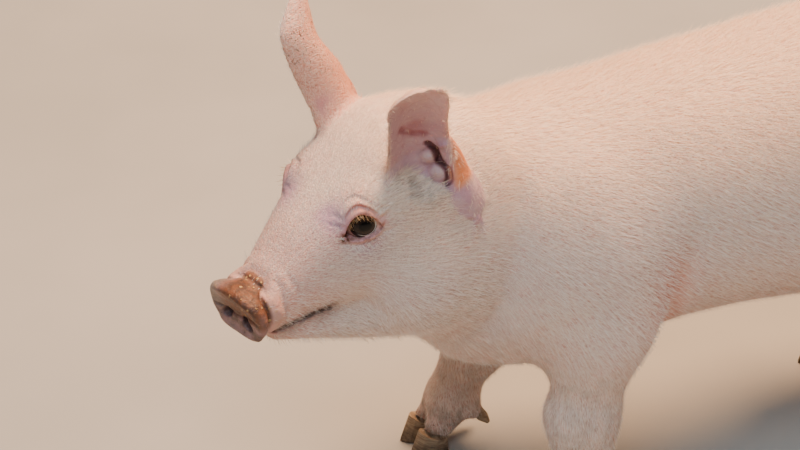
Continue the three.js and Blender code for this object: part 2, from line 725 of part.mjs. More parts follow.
/** A thin cupped sheet between two margin curves, in the head's frame. */
function leaf({ front, rear, depth, thick }, rings, around) {
  const curve = (points) => new THREE.CatmullRomCurve3(points.map((p) => new THREE.Vector3(...p)));
  const level = (values, t) => {
    const at = t * (values.length - 1);
    const i = Math.min(values.length - 2, Math.floor(at));
    return values[i] + (values[i + 1] - values[i]) * (at - i);
  };
  const fore = curve(front);
  const back = curve(rear);
  const middle = (t) => fore.getPoint(t).add(back.getPoint(t)).multiplyScalar(0.5);
  return loft(Array.from({ length: rings }, (_, r) => {
    const t = r / (rings - 1);
    const span = fore.getPoint(t).sub(back.getPoint(t)).multiplyScalar(0.5);
    const rise = middle(Math.min(1, t + 0.02)).sub(middle(Math.max(0, t - 0.02)));
    const face = rise.cross(span).normalize();
    return Array.from({ length: around }, (_, i) => {
      const angle = (i / around) * 2 * Math.PI;
      const u = Math.cos(angle);
      const out = (level(thick, t) / 2) * Math.sin(angle) - level(depth, t) * (1 - u * u);
      return middle(t).addScaledVector(span, u).addScaledVector(face, out);
    });
  }));
}

/** One ear with its lobe; side is +1 on the pig's left in the head's own frame. */
function makeEar(shape, side) {
  const mirror = new THREE.Matrix4().makeScale(1, side, 1);
  const place = (geometry) => solid(outward(geometry.applyMatrix4(mirror).applyMatrix4(headToPig)));
  return place(leaf(shape, 12, 14)).add(place(leaf(EAR_LOBE, 7, 10))).subtract(underEars);
}

add("head", makeHead().subtract(jawWedge(MOUTH.gape)), SKIN);
add(
  "lower_jaw",
  flesh(pigField, ROOM.jaw, CELL.jaw).intersect(jawWedge(0)).intersect(behindDisc),
  SKIN,
);
add("snout_disc", makeDisc(), NOSE);
for (const [name, side] of [["left", 1], ["right", -1]]) {
  add(`eye_${name}`, makeEye(side), EYEBALL);
  add(`ear_${name}`, makeEar(EARS[name], side), EAR_SKIN);
}

// ---------------------------------------------------------------- the trunk

const alongX = new THREE.Matrix4().makeBasis(
  new THREE.Vector3(0, 1, 0),
  new THREE.Vector3(0, 0, 1),
  new THREE.Vector3(1, 0, 0),
);

/** The room of one leg under the trunk, grown by the given clearance. */
function legRoom(side, { inner, height, rise, from, to }, clear) {
  const { middle: inmost, outer, below, dip } = LEG_ROOM;
  const outline = [
    [side * (inmost - clear), below],
    [side * outer, below],
    [side * outer, height + rise * (outer - inner) + clear],
    [side * inner, height + clear],
    [side * (inmost - clear), height - dip],
  ];
  return prism(outline, from - clear, to + clear, alongX);
}

const cutOf = (leg) => (leg.elbow ? FORE_CUT : HIND_CUT);

/** A tapered round tail through the given points, grown by the given clearance. */
function makeTail(clear) {
  const curve = new THREE.CatmullRomCurve3(TAIL.path.map((p) => new THREE.Vector3(...p)));
  const rings = Array.from({ length: TAIL.rings }, (_, r) => {
    const t = r / (TAIL.rings - 1);
    const at = Math.min(TAIL.radius.length - 2, Math.floor(t * (TAIL.radius.length - 1)));
    const part = t * (TAIL.radius.length - 1) - at;
    const radius = TAIL.radius[at] + (TAIL.radius[at + 1] - TAIL.radius[at]) * part + clear;
    const tangent = curve.getTangent(t);
    const side = new THREE.Vector3(0, 1, 0).cross(tangent).normalize();
    const other = new THREE.Vector3().crossVectors(tangent, side);
    return Array.from({ length: TAIL.around }, (_, i) => {
      const angle = (i / TAIL.around) * 2 * Math.PI;
      return curve.getPoint(t).addScaledVector(side, Math.cos(angle) * radius)
        .addScaledVector(other, Math.sin(angle) * radius);
    });
  });
  return solid(loft(rings));
}

const trunkSide = beyond(NECK_CUT.point, reversed(NECK_CUT.normal));
const neck = flesh(pigField, ROOM.neck, CELL.neck)
  .intersect(neckSide)
  .intersect(beyond(headPoint(HEAD_CUT, 0, 0), forward.clone().negate().toArray()));
add("neck", neck, SKIN);

const chest = flesh(pigField, ROOM.chest, CELL.chest)
  .intersect(trunkSide)
  .intersect(beyond([CHEST_CUT, 0, 0], [-1, 0, 0]));
const barrel = flesh(pigField, ROOM.barrel, CELL.barrel)
  .intersect(beyond([CHEST_CUT, 0, 0], [1, 0, 0]))
  .intersect(beyond([RUMP_CUT, 0, 0], [-1, 0, 0]));
const rump = flesh(pigField, ROOM.rump, CELL.rump)
  .intersect(beyond([RUMP_CUT, 0, 0], [1, 0, 0]))
  .subtract(makeTail(GAP));
for (const [name, whole] of [["chest", chest], ["barrel", barrel], ["rump", rump]]) {
  const clear = legs.reduce((body, leg) => body.subtract(legRoom(leg.side, cutOf(leg), GAP)), whole);
  add(name, clear, SKIN);
}
add("tail", makeTail(0), SKIN);

// ---------------------------------------------------------------- the legs

const crown = new THREE.Vector3(CLAW.heel - CLAW.front, 0, -CLAW.length).normalize().negate().toArray();
const crownPoint = ([x, y], lower) => [x - CLAW.length / 2 + CLAW.lean, y, CLAW.front - lower];

/** One claw: a flat sole, a leaning wall and a sloping crown. */
function makeClaw([x, y], side) {
  const outline = (height) =>
    Array.from({ length: CLAW.around }, (_, i) => {
      const angle = (i / CLAW.around) * 2 * Math.PI;
      const toe = Math.max(0, -Math.cos(angle));
      const bulge = side * Math.sin(angle) < 0 ? CLAW.innerSide : 1;
      const spread = Math.sin(angle) * (1 - CLAW.narrowing * toe ** 3) * bulge;
      const shrink = 1 - CLAW.taper * height;
      const px = Math.cos(angle) * (CLAW.length / 2) * shrink;
      const top = CLAW.heel + ((CLAW.length / 2 - px) / CLAW.length) * (CLAW.front - CLAW.heel) - GAP;
      const py = side * CLAW.apart + (spread * CLAW.width * shrink) / 2;
      return new THREE.Vector3(x + px + CLAW.lean * height * toe, y + py, top * height);
    });
  return solid(loft(CLAW.levels.map((h) => outline(h).map((p) => (h ? p : p.setZ(0))))));
}

/** One dewclaw, a short blunt cone behind the fetlock. */
function makeDewclaw([x, y, z], side, clear) {
  const from = new THREE.Vector3(x + DEWCLAW.back, y + side * DEWCLAW.apart * DEWCLAW.spread, z - DEWCLAW.drop);
  const axis = new THREE.Vector3(...mirrored(DEWCLAW.axis, side)).normalize();
  const u = new THREE.Vector3(0, 1, 0).cross(axis).normalize();
  const v = new THREE.Vector3().crossVectors(axis, u);
  const rings = DEWCLAW.sections.map(([along, size]) =>
    Array.from({ length: DEWCLAW.around }, (_, i) => {
      const angle = (i / DEWCLAW.around) * 2 * Math.PI;
      const reach = along * DEWCLAW.length + (along === 1 ? clear : 0);
      const radius = DEWCLAW.radius * size + clear;
      return from.clone().addScaledVector(axis, reach).addScaledVector(u, Math.cos(angle) * radius)
        .addScaledVector(v, Math.sin(angle) * radius);
    }));
  return solid(loft(rings));
}

for (const leg of legs) {
  const kind = leg.elbow ? "foreleg" : "hindleg";
  const side = leg.side === LEFT ? "left" : "right";
  const room = legRoom(leg.side, cutOf(leg), 0);
  const [x, y] = leg.toe;
  const top = leg.elbow ?? leg.stifle;
  const joint = leg.knee ?? leg.hock;
  const low = [Math.min(x - 12, top[0] - 40, joint[0] - 20), y - 34, 0];
  const high = [Math.max(joint[0] + 24, top[0] + 40), y + 34, 0];
  const upper = flesh(pigField, [low.with(2, KNEE_CUT), high.with(2, LEG_TOP)], CELL.upper)
    .intersect(room)
    .intersect(beyond([0, 0, KNEE_CUT], [0, 0, 1]));
  let lower = flesh(legField.get(leg), [low.with(2, -4), high.with(2, KNEE_CUT)], CELL.lower)
    .intersect(beyond([0, 0, KNEE_CUT], [0, 0, -1]))
    .intersect(beyond(crownPoint(leg.toe, 0), crown));
  for (const [place, s] of [["outer", leg.side], ["inner", -leg.side]]) {
    lower = lower.subtract(makeDewclaw(leg.fetlock, s, GAP));
    add(`claw_${kind}_${side}_${place}`, makeClaw(leg.toe, s), HORN);
    add(`dewclaw_${kind}_${side}_${place}`, makeDewclaw(leg.fetlock, s, 0), HORN);
  }
  add(`${kind}_${side}_upper`, upper, SKIN);
  add(`${kind}_${side}_lower`, lower, SKIN);
}

// The origin is brought to the middle of the whole box, on the floor.
const box = new THREE.Box3().setFromObject(pig);
const middle = box.getCenter(new THREE.Vector3());
for (const mesh of pig.children) mesh.geometry.translate(-middle.x, -middle.y, -box.min.z);

export default pig;
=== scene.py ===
"""A young pale pig, standing still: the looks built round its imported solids.

The flesh is one skin. It is worked out in millimetres as a smooth distance field, in which the head
looks towards -X and the pig's left side faces -Y, and is turned into a mesh, finest on the face. Eyes,
lashes, claws and the short coat are pieces of their own.
"""

import json
import logging
import math
from dataclasses import dataclass, field
from enum import Enum
from typing import Callable, Iterable, Sequence

import bmesh
import bpy
import numpy as np
from mathutils import Matrix, Vector

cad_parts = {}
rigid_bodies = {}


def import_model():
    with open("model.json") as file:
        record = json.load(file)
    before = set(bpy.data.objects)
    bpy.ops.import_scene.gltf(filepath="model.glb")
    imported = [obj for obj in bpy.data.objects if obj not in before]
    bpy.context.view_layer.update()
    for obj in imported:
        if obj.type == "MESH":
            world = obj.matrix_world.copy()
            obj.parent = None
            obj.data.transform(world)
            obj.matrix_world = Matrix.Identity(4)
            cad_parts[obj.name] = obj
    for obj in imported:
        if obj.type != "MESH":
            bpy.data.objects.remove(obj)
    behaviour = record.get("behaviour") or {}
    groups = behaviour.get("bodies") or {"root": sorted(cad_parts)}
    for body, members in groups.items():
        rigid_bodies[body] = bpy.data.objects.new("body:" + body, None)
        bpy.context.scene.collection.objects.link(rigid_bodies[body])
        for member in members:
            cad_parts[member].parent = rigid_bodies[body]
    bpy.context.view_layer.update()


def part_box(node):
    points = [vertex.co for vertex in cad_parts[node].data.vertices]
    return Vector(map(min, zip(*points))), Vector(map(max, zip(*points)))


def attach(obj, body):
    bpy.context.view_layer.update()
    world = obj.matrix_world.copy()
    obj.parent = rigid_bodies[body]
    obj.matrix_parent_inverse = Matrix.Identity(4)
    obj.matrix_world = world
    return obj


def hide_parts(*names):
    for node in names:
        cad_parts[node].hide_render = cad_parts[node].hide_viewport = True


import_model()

LOG = logging.getLogger("pig")
MM = 0.001  # metres in a millimetre
FAR = 1e3  # a distance that counts as nowhere near

Array = np.ndarray
Field = Callable[[Array], Array]
Triple = tuple[float, float, float]
Colour = tuple[float, float, float]
Socket = bpy.types.NodeSocket


class Side(Enum):
    """A side of the pig, as the sign of Y in the body and of the head's own sideways axis."""

    LEFT = (-1, 1)
    RIGHT = (1, -1)

    @property
    def body(self) -> int:
        """The sign of Y on this side of the body."""
        return self.value[0]

    @property
    def head(self) -> int:
        """The sign of the head's sideways axis on this side."""
        return self.value[1]

    @property
    def flip(self) -> Array:
        """Turns points of this side of the head over to its left half, and back, as a factor."""
        return np.array([1.0, self.head, 1.0])

    @property
    def word(self) -> str:
        """The side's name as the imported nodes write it."""
        return self.name.lower()


class Detail(Enum):
    """How much of the form a distance field carries."""

    PLAIN = 0  # the main masses
    FINE = 1  # everything, with lids, lips and wrinkles


# ------------------------------------------------------------------ distance fields


def blend(a: Array, b: Array, k: float) -> Array:
    """Joins two distance fields with a fillet.

    Args:
        a: Distances to the first form.
        b: Distances to the second form.
        k: About the size of the fillet.

    Returns:
        Distances to both forms together.
    """
    h = np.maximum(k - np.abs(a - b), 0.0) / k
    return np.minimum(a, b) - h * h * k * 0.25


def carve(a: Array, b: Array, k: float) -> Array:
    """Cuts form b out of form a, with an edge rounded by about k."""
    return -blend(-a, b, k)


def ramp(x: Array, low: float, high: float) -> Array:
    """A smooth step from 0 at low to 1 at high."""
    t = np.clip((x - low) / (high - low), 0.0, 1.0)
    return t * t * (3.0 - 2.0 * t)


def hump(x: Array, width: float) -> Array:
    """A soft bump of height 1 at zero that has died away at twice the width."""
    return np.exp(-((x / width) ** 2))


def unit(v: Array) -> Array:
    """The vectors of an array at length 1."""
    return v / np.maximum(np.linalg.norm(v, axis=-1, keepdims=True), 1e-9)


def folded(h: Array) -> Array:
    """Points of the head brought to its left half."""
    return np.stack([h[:, 0], np.abs(h[:, 1]), h[:, 2]], axis=1)


@dataclass(frozen=True)
class Ellipsoid:
    """An ellipsoid tipped about Y."""

    centre: Triple
    radii: Triple
    tip: float = 0.0

    def __call__(self, p: Array) -> Array:
        """Distances to the ellipsoid."""
        c, s = math.cos(self.tip), math.sin(self.tip)
        dx, dy, dz = (p[:, i] - self.centre[i] for i in range(3))
        rx, ry, rz = self.radii
        a, b, e = (c * dx - s * dz) / rx, dy / ry, (s * dx + c * dz) / rz
        k = np.sqrt(a * a + b * b + e * e)
        slope = np.sqrt((a / rx) ** 2 + (b / ry) ** 2 + (e / rz) ** 2)
        return k * (k - 1.0) / (slope + 1e-9)


@dataclass(frozen=True)
class Limb:
    """A straight tapered limb, thinner across Y by flat."""

    start: Triple
    end: Triple
    start_radius: float
    end_radius: float
    flat: float = 1.0

    def __call__(self, p: Array) -> Array:
        """Distances to the limb."""
        a = np.array(self.start)
        run = np.array(self.end) - a
        q = p - a
        t = np.clip(q @ run / (run @ run), 0.0, 1.0)
        off = q - t[:, None] * run
        across = off[:, 1] / self.flat
        reach = np.sqrt(off[:, 0] ** 2 + across**2 + off[:, 2] ** 2)
        return (reach - self.start_radius - (self.end_radius - self.start_radius) * t) * self.flat


@dataclass(frozen=True)
class Tube:
    """A long form along X through stations of (x, top, low, half width)."""

    stations: tuple[tuple[float, float, float, float], ...]
    power: float

    def follow(self, x: Array) -> Array:
        """The top, low and half width at each x, on a smooth curve held level past both ends."""
        table = np.array(self.stations)
        xs = table[:, 0]
        x = np.clip(x, xs[0], xs[-1])
        i = np.clip(np.searchsorted(xs, x, side="right") - 1, 0, len(xs) - 2)
        before, after = np.maximum(i - 1, 0), np.minimum(i + 2, len(xs) - 1)
        width = xs[i + 1] - xs[i]
        t = ((x - xs[i]) / width)[:, None]
        here, there = table[i, 1:], table[i + 1, 1:]
        m0 = (there - table[before, 1:]) * (width / (xs[i + 1] - xs[before]))[:, None]
        m1 = (table[after, 1:] - here) * (width / (xs[after] - xs[i]))[:, None]
        a = 2.0 * (here - there) + m0 + m1
        b = 3.0 * (there - here) - 2.0 * m0 - m1
        return ((a * t + b) * t + m0) * t + here

    def __call__(self, p: Array) -> Array:
        """Distances to the tube."""
        top, low, half = self.follow(p[:, 0]).T
        tall = (top - low) / 2.0
        dz = p[:, 2] - (top + low) / 2.0
        y = p[:, 1]
        r = np.hypot(y, dz)
        q = (np.abs(y / half) ** self.power + np.abs(dz / tall) ** self.power) ** (1.0 / self.power)
        side = np.where(r < 1e-6, -np.minimum(half, tall), r - r / np.maximum(q, 1e-9))
        past = np.maximum(self.stations[0][0] - p[:, 0], p[:, 0] - self.stations[-1][0])
        beyond = np.hypot(np.maximum(side, 0.0), past) + np.minimum(side, 0.0) * 0.1
        return np.where(past > 0.0, beyond, np.maximum(side, past))


@dataclass(frozen=True)
class Whip:
    """A round form along bending points, each with its own radius."""

    points: tuple[Triple, ...]
    radii: tuple[float, ...]
    fillet: float = 3.0

    def __call__(self, p: Array) -> Array:
        """Distances to the whip."""
        d = np.full(len(p), FAR)
        for a, b, ra, rb in zip(self.points, self.points[1:], self.radii, self.radii[1:]):
            d = blend(d, Limb(a, b, ra, rb)(p), self.fillet)
        return d


def catmull(points: Sequence[Triple], t: Array) -> Array:
    """Points of a smooth curve through control points.

    Args:
        points: The control points.
        t: Places along the curve, from 0 to 1.

    Returns:
        One point for each place.
    """
    table = np.array(points, float)
    table = np.vstack([2 * table[0] - table[1], table, 2 * table[-1] - table[-2]])
    last = len(points) - 1
    i = np.minimum((t * last).astype(int), last - 1)
    f = (t * last - i)[:, None]
    p0, p1, p2, p3 = (table[i + n] for n in range(4))
    return 0.5 * (
        2 * p1 + (p2 - p0) * f + (2 * p0 - 5 * p1 + 4 * p2 - p3) * f**2 + (3 * p1 - p0 - 3 * p2 + p3) * f**3
    )


@dataclass(frozen=True)
class Spot:
    """Where points lie against a cupped sheet."""

    along: Array  # from 0 at its root to 1 at its tip
    across: Array  # -1 and 1 at its margins
    off: Array  # distance from its middle surface, above zero on the cupped side
    past: Array  # how far past either end
    normal: Array  # the middle surface's normals, towards the cupped side


@dataclass(frozen=True)
class Leaf:
    """A thin cupped sheet between a front and a rear margin, in the head's frame."""

    front: tuple[Triple, ...]
    rear: tuple[Triple, ...]
    depth: tuple[float, ...]
    thick: tuple[float, ...]
    least: float = 0.0  # the least thickness, for a grid too coarse for the real one
    stations: int = 40
    tip_length: float = 3.0

    def levels(self) -> tuple[Array, Array, Array, Array, Array]:
        """The sheet's middle line, half spans, faces, depths and thicknesses at its stations."""
        t = np.linspace(0.0, 1.0, self.stations)
        fore, back = catmull(self.front, t), catmull(self.rear, t)
        middle, span = (fore + back) / 2.0, (fore - back) / 2.0
        face = unit(np.cross(np.gradient(middle, axis=0), span))
        places = np.linspace(0.0, 1.0, len(self.depth))
        thick = np.maximum(np.interp(t, places, self.thick), self.least)
        return middle, span, face, np.interp(t, places, self.depth), thick

    def half(self, along: Array) -> Array:
        """Half the thickness at places along the sheet."""
        return np.interp(along, np.linspace(0.0, 1.0, self.stations), self.levels()[4]) / 2.0

    def places(self, p: Array) -> Spot:
        """Where points lie against the sheet.

        Args:
            p: Points in the head's frame, on the ear's own side.

        Returns:
            Their places.
        """
        middle, span, face, depth, thick = self.levels()
        across = unit(span)
        normal = unit(np.cross(face, span))
        normal *= np.sign(np.sum(normal * np.gradient(middle, axis=0), axis=1, keepdims=True))
        g = p @ normal.T - np.sum(middle * normal, axis=1)
        away = np.linalg.norm(p[:, None, :] - middle[None, :, :], axis=2)
        crossing = (g[:, :-1] >= 0.0) & (g[:, 1:] < 0.0)
        score = np.where(crossing, away[:, :-1], np.inf)
        i = np.argmin(score, axis=1)
        found = np.isfinite(score[np.arange(len(p)), i])
        nearer_tip = away[:, -1] < away[:, 0]
        i = np.where(found, i, np.where(nearer_tip, self.stations - 2, 0))
        row = np.arange(len(p))
        gi, gj = g[row, i], g[row, i + 1]
        f = np.where(found, gi / np.maximum(gi - gj, 1e-6), np.where(nearer_tip, 1.0, 0.0))
        past = np.where(found, 0.0, np.where(nearer_tip, np.maximum(gj, 0.0), np.maximum(-gi, 0.0)))
        f = f[:, None]

        def at(values: Array) -> Array:
            """Values of the stations, carried over to the points."""
            return values[i] + (values[i + 1] - values[i]) * f

        q = p - at(middle)
        width = np.linalg.norm(at(span), axis=1)
        sideways, outward = unit(at(across)), unit(at(face))
        a = np.sum(q * sideways, axis=1) / width
        inner = np.clip(a, -1.0, 1.0)
        bend = at(depth[:, None])[:, 0]
        tilt = 2.0 * bend * inner / width
        off = (np.sum(q * outward, axis=1) + bend * (1.0 - inner**2)) / np.sqrt(1.0 + tilt**2)
        normals = unit(outward - tilt[:, None] * sideways)
        return Spot((i + f[:, 0]) / (self.stations - 1), a, off, past, normals)

    def __call__(self, p: Array) -> Array:
        """Distances to the sheet."""
        spot = self.places(p)
        a, off, past = spot.across, spot.off, spot.past
        half = self.half(spot.along)
        t = np.linspace(0.0, 1.0, self.stations)
        width = np.interp(spot.along, t, np.linalg.norm(self.levels()[1], axis=1))
        k = np.sqrt(a**6 + (off / half) ** 2 + (past / self.tip_length) ** 2)
        slope = np.sqrt((3.0 * a**5 / width) ** 2 + (off / half**2) ** 2 + (past / self.tip_length**2) ** 2)
        return np.maximum(k * (k - 1.0) / (slope + 1e-3), -half)


@dataclass(frozen=True)
class Near:
    """A form that is only worked out inside its own box; elsewhere it counts as far away."""

    form: Field
    low: Triple
    high: Triple
    far: float = 30.0

    def __call__(self, p: Array) -> Array:
        """Distances to the form, or far."""
        d = np.full(len(p), self.far)
        here = np.all((p > np.array(self.low)) & (p < np.array(self.high)), axis=1)
        if here.any():
            d[here] = np.minimum(self.form(p[here]), self.far)
        return d


# ------------------------------------------------------------------ the head


@dataclass(frozen=True)
class HeadPose:
    """How the head is carried, in degrees and in the body's frame."""

    yaw: float = 23.0
    pitch: float = 5.0
    disc_centre: Triple = (-252.0, -55.0, 171.0)
    length: float = 122.0

    def axes(self) -> Array:
        """The head's forward, leftward and upward axes, as rows."""
        yaw, pitch = math.radians(self.yaw), math.radians(self.pitch)
        forward = np.array(
            [-math.cos(yaw) * math.cos(pitch), -math.sin(yaw) * math.cos(pitch), -math.sin(pitch)]
        )
        leftward = np.array([math.sin(yaw), -math.cos(yaw), 0.0])
        return np.array([forward, leftward, np.cross(forward, leftward)])

    def origin(self) -> Array:
        """The back of the skull, where the head's own coordinates start."""
        return np.array(self.disc_centre) - self.axes()[0] * self.length

    def to_head(self, p: Array) -> Array:
        """Points of the body in the head's coordinates."""
        return (p - self.origin()) @ self.axes().T

    def to_body(self, h: Array | Sequence[float]) -> Array:
        """Points of the head in the body's coordinates."""
        return np.asarray(h, float) @ self.axes() + self.origin()


@dataclass(frozen=True)
class EyeSocket:
    """The left eye's place in the head and the form of its lids."""

    centre: Triple = (65.4, 17.6, 29.0)
    radius: float = 9.0
    axis: Triple = (0.463, 0.872, 0.161)
    middle: float = 0.9  # how far the opening's middle lies ahead of the eye's
    half_width: float = 8.0
    canthus: float = -1.6  # height of the two corners against the eye's middle
    upper: float = 7.2  # height of the upper lid's edge over the corners
    lower: float = 3.5  # depth of the lower lid's edge under them
    drops: tuple[float, float] = (1.7, 0.9)  # how far the front and the rear corner lie under that
    lid: float = 1.5  # thickness of the lids
    bed: float = 1.3  # depth of the skin under the front of the eyeball

    def axes(self) -> Array:
        """The outward, frontward and upward axes of the eye, as rows."""
        out = unit(np.array(self.axis))
        ahead = np.array([1.0, 0.0, 0.0])
        ahead = unit(ahead - (ahead @ out) * out)
        return np.array([out, ahead, np.cross(ahead, out)])

    def local(self, h: Array) -> Array:
        """Points of the head's left half in the eye's coordinates."""
        return (h - np.array(self.centre)) @ self.axes().T

    def to_head(self, e: Array, side: Side) -> Array:
        """Points in the eye's coordinates as points of the head, on either side."""
        h = e @ self.axes() + np.array(self.centre)
        return h * side.flip

    def edges(self, u: Array) -> tuple[Array, Array]:
        """The heights of the upper and the lower lid's edge at u across the eye."""
        side = (u - self.middle) / self.half_width
        w = np.clip(1.0 - side**2, 0.0, 1.0)
        front, rear = self.drops
        corner = self.canthus - front * np.clip(side, 0.0, 1.0) + rear * np.clip(side, -1.0, 0.0)
        return corner + self.upper * w**0.7 * (1.0 + 0.16 * side), corner - self.lower * w**0.8

    def opening(self, e: Array) -> Array:
        """Distances in the plane of the lids to the opening between them."""
        u, v = e[:, 1], e[:, 2]
        up, low = self.edges(u)
        return np.maximum(np.maximum(v - up, low - v) * 0.8, np.abs(u - self.middle) - self.half_width)

    def pocket(self, e: Array) -> Array:
        """Distances to the room that the lids leave open down to the bed of the eyeball."""
        r = np.linalg.norm(e, axis=1)
        behind = np.maximum(self.radius - self.bed - r, 1.0 - e[:, 0])
        return np.maximum(self.opening(e), behind)

    def folds(self, e: Array) -> Array:
        """How far the creases about the lids sink the skin."""
        u, v = e[:, 1], e[:, 2]
        up, low = self.edges(u)
        near = ramp(np.linalg.norm(e, axis=1), 20.0, 15.0) * ramp(e[:, 0], 0.0, 3.0)
        wide = hump(u, 9.5)
        crease = 1.6 * hump(v - up - 3.8 - 0.012 * u**2, 0.85) - 0.7 * hump(v - up - 1.5, 1.3)
        second = hump(v - up - 6.8 - 0.02 * u**2, 0.9) - 0.7 * hump(v - up - 5.2 - 0.015 * u**2, 1.1)
        under = 0.75 * hump(v - low + 3.0, 0.75) - 0.45 * hump(v - low + 1.2, 1.0)
        bag = 0.5 * hump(v - low + 5.6 - 0.02 * u**2, 0.9)
        front = 0.8 * hump(np.hypot(u - self.middle - self.half_width - 1.2, v - self.canthus + 1.9), 1.5)
        return near * (wide * (crease + second + under + bag) + front)


@dataclass(frozen=True)
class SnoutDisc:
    """The flat disc at the end of the snout, with its collar and nostrils."""

    back: float = 112.5
    depth: float = 11.6
    half_width: float = 18.8
    half_height: float = 15.8
    middle: float = 0.8  # height of its centre
    lean: tuple[float, float] = (12.0, 5.0)  # degrees that its upper and its lower half lean forward
    flare: tuple[tuple[float, float], ...] = (
        (-0.4, 0.84), (0.0, 0.88), (0.25, 0.885), (0.4, 0.855),
        (0.52, 0.88), (0.68, 0.955), (0.86, 1.0), (1.0, 0.985),
    )  # its size at places from its back, at 0, to its front, at 1
    groove: float = 4.9  # how far ahead of its back the groove behind the rim lies
    crease: float = -2.2  # height of the crease across its face, against its centre
    rim_fillet: float = 2.6
    nostril: Triple = (122.0, 6.4, -3.6)
    nostril_radii: Triple = (6.0, 2.7, 2.0)
    nostril_turn: float = 0.42  # how far it leads inwards, in radians

    def __call__(self, h: Array) -> Array:
        """Distances to the disc without its nostrils."""
        z = h[:, 2] - self.middle
        y = np.abs(h[:, 1])
        along = (h[:, 0] - self.back) / self.depth
        size = np.interp(along, *np.array(self.flare).T)
        size += 0.07 * hump(along - 0.4, 0.28) * ramp(z, 5.0, 10.0)
        tall = np.where(z > 0.0, self.half_height * 0.79, self.half_height * (0.92 - 0.05 * hump(y, 4.0)))
        q = (np.abs(y / self.half_width) ** 2.2 + np.abs(z / tall) ** 2.2) ** (1 / 2.2)
        side = (q - size) * self.half_height
        rim = hump(q - 0.83, 0.13)
        dish = 0.5 * rim - 0.9 * ramp(q, 0.75, 0.35) * hump(z, 9.0)
        upper, lower = (math.tan(math.radians(v)) for v in self.lean)
        plane = self.back + self.depth + upper * np.maximum(z, 0.0) + lower * np.minimum(z, 0.0)
        lip = 1.3 * hump(z - 8.5, 4.5) * ramp(y, 17.0, 8.0)
        front = plane + dish + lip - 0.85 * self.across(h) - 1.2 * q**2 + 0.6
        return carve(side, front - h[:, 0], self.rim_fillet)

    def ahead(self, h: Array, turn: Array) -> Array:
        """How far points lie ahead of the groove behind the disc, which runs back over the top."""
        return h[:, 0] - self.back - self.groove + 8.5 * ramp(turn, 0.6, 1.25) - 1.2 * np.sin(turn)

    def across(self, h: Array) -> Array:
        """1 in the crease that crosses its face."""
        bend = 0.4 * np.sin(0.45 * h[:, 1] + 1.0) - 0.16 * np.maximum(h[:, 1], 0.0)
        return hump(h[:, 2] - self.middle - self.crease + bend, 0.8) * ramp(np.abs(h[:, 1]), 17.5, 11.0)

    def holes(self, h: Array) -> Array:
        """Distances to the nostrils."""
        q = folded(h) - np.array(self.nostril)
        c, s = math.cos(self.nostril_turn), math.sin(self.nostril_turn)
        inward = c * q[:, 0] + s * q[:, 1]
        across = -s * q[:, 0] + c * q[:, 1]
        local = np.stack([inward, across, q[:, 2] + 0.35 * across], axis=1)
        return Ellipsoid((0.0, 0.0, 0.0), self.nostril_radii)(local)

    def wings(self, h: Array) -> Array:
        """How far the raised edges of the nostrils lift the face of the disc."""
        q = folded(h) - np.array(self.nostril)
        r = np.hypot(q[:, 1] / self.nostril_radii[1], q[:, 2] / self.nostril_radii[2])
        return 0.25 * hump(r - 1.45, 0.4) * ramp(h[:, 0], self.back + 6.0, self.back + 9.0)


@dataclass(frozen=True)
class Mouth:
    """The line between the lips, in the head's side view, and the lips along it."""

    corner: tuple[float, float] = (83.0, -12.2)
    front: tuple[float, float] = (119.0, -12.6)
    sag: float = -0.7
    depth: float = 3.0
    width: float = 0.75

    def height(self, x: Array) -> Array:
        """The height of the line at x along the head."""
        t = (x - self.corner[0]) / (self.front[0] - self.corner[0])
        rise = self.corner[1] + (self.front[1] - self.corner[1]) * t
        return rise - self.sag * np.sin(np.clip(t, 0.0, 1.0) * math.pi) + 2.2 * np.clip(-t, 0.0, 1.0)

    def sink(self, h: Array) -> Array:
        """How far the line and the lips sink or lift the skin."""
        m = h[:, 2] - self.height(h[:, 0])
        open_part = ramp(h[:, 0], self.corner[0] - 1.0, self.corner[0] + 7.0)
        line = self.depth * open_part * hump(m, self.width)
        lip = ramp(h[:, 0], self.corner[0] - 2.0, self.corner[0] + 12.0)
        upper = 0.7 * lip * hump(m - 2.3, 1.7)
        lower = 0.85 * lip * hump(m + 2.1, 1.5)
        corner = 0.9 * hump(np.hypot(h[:, 0] - self.corner[0] + 1.2, m), 2.0)
        return line - upper - lower + corner


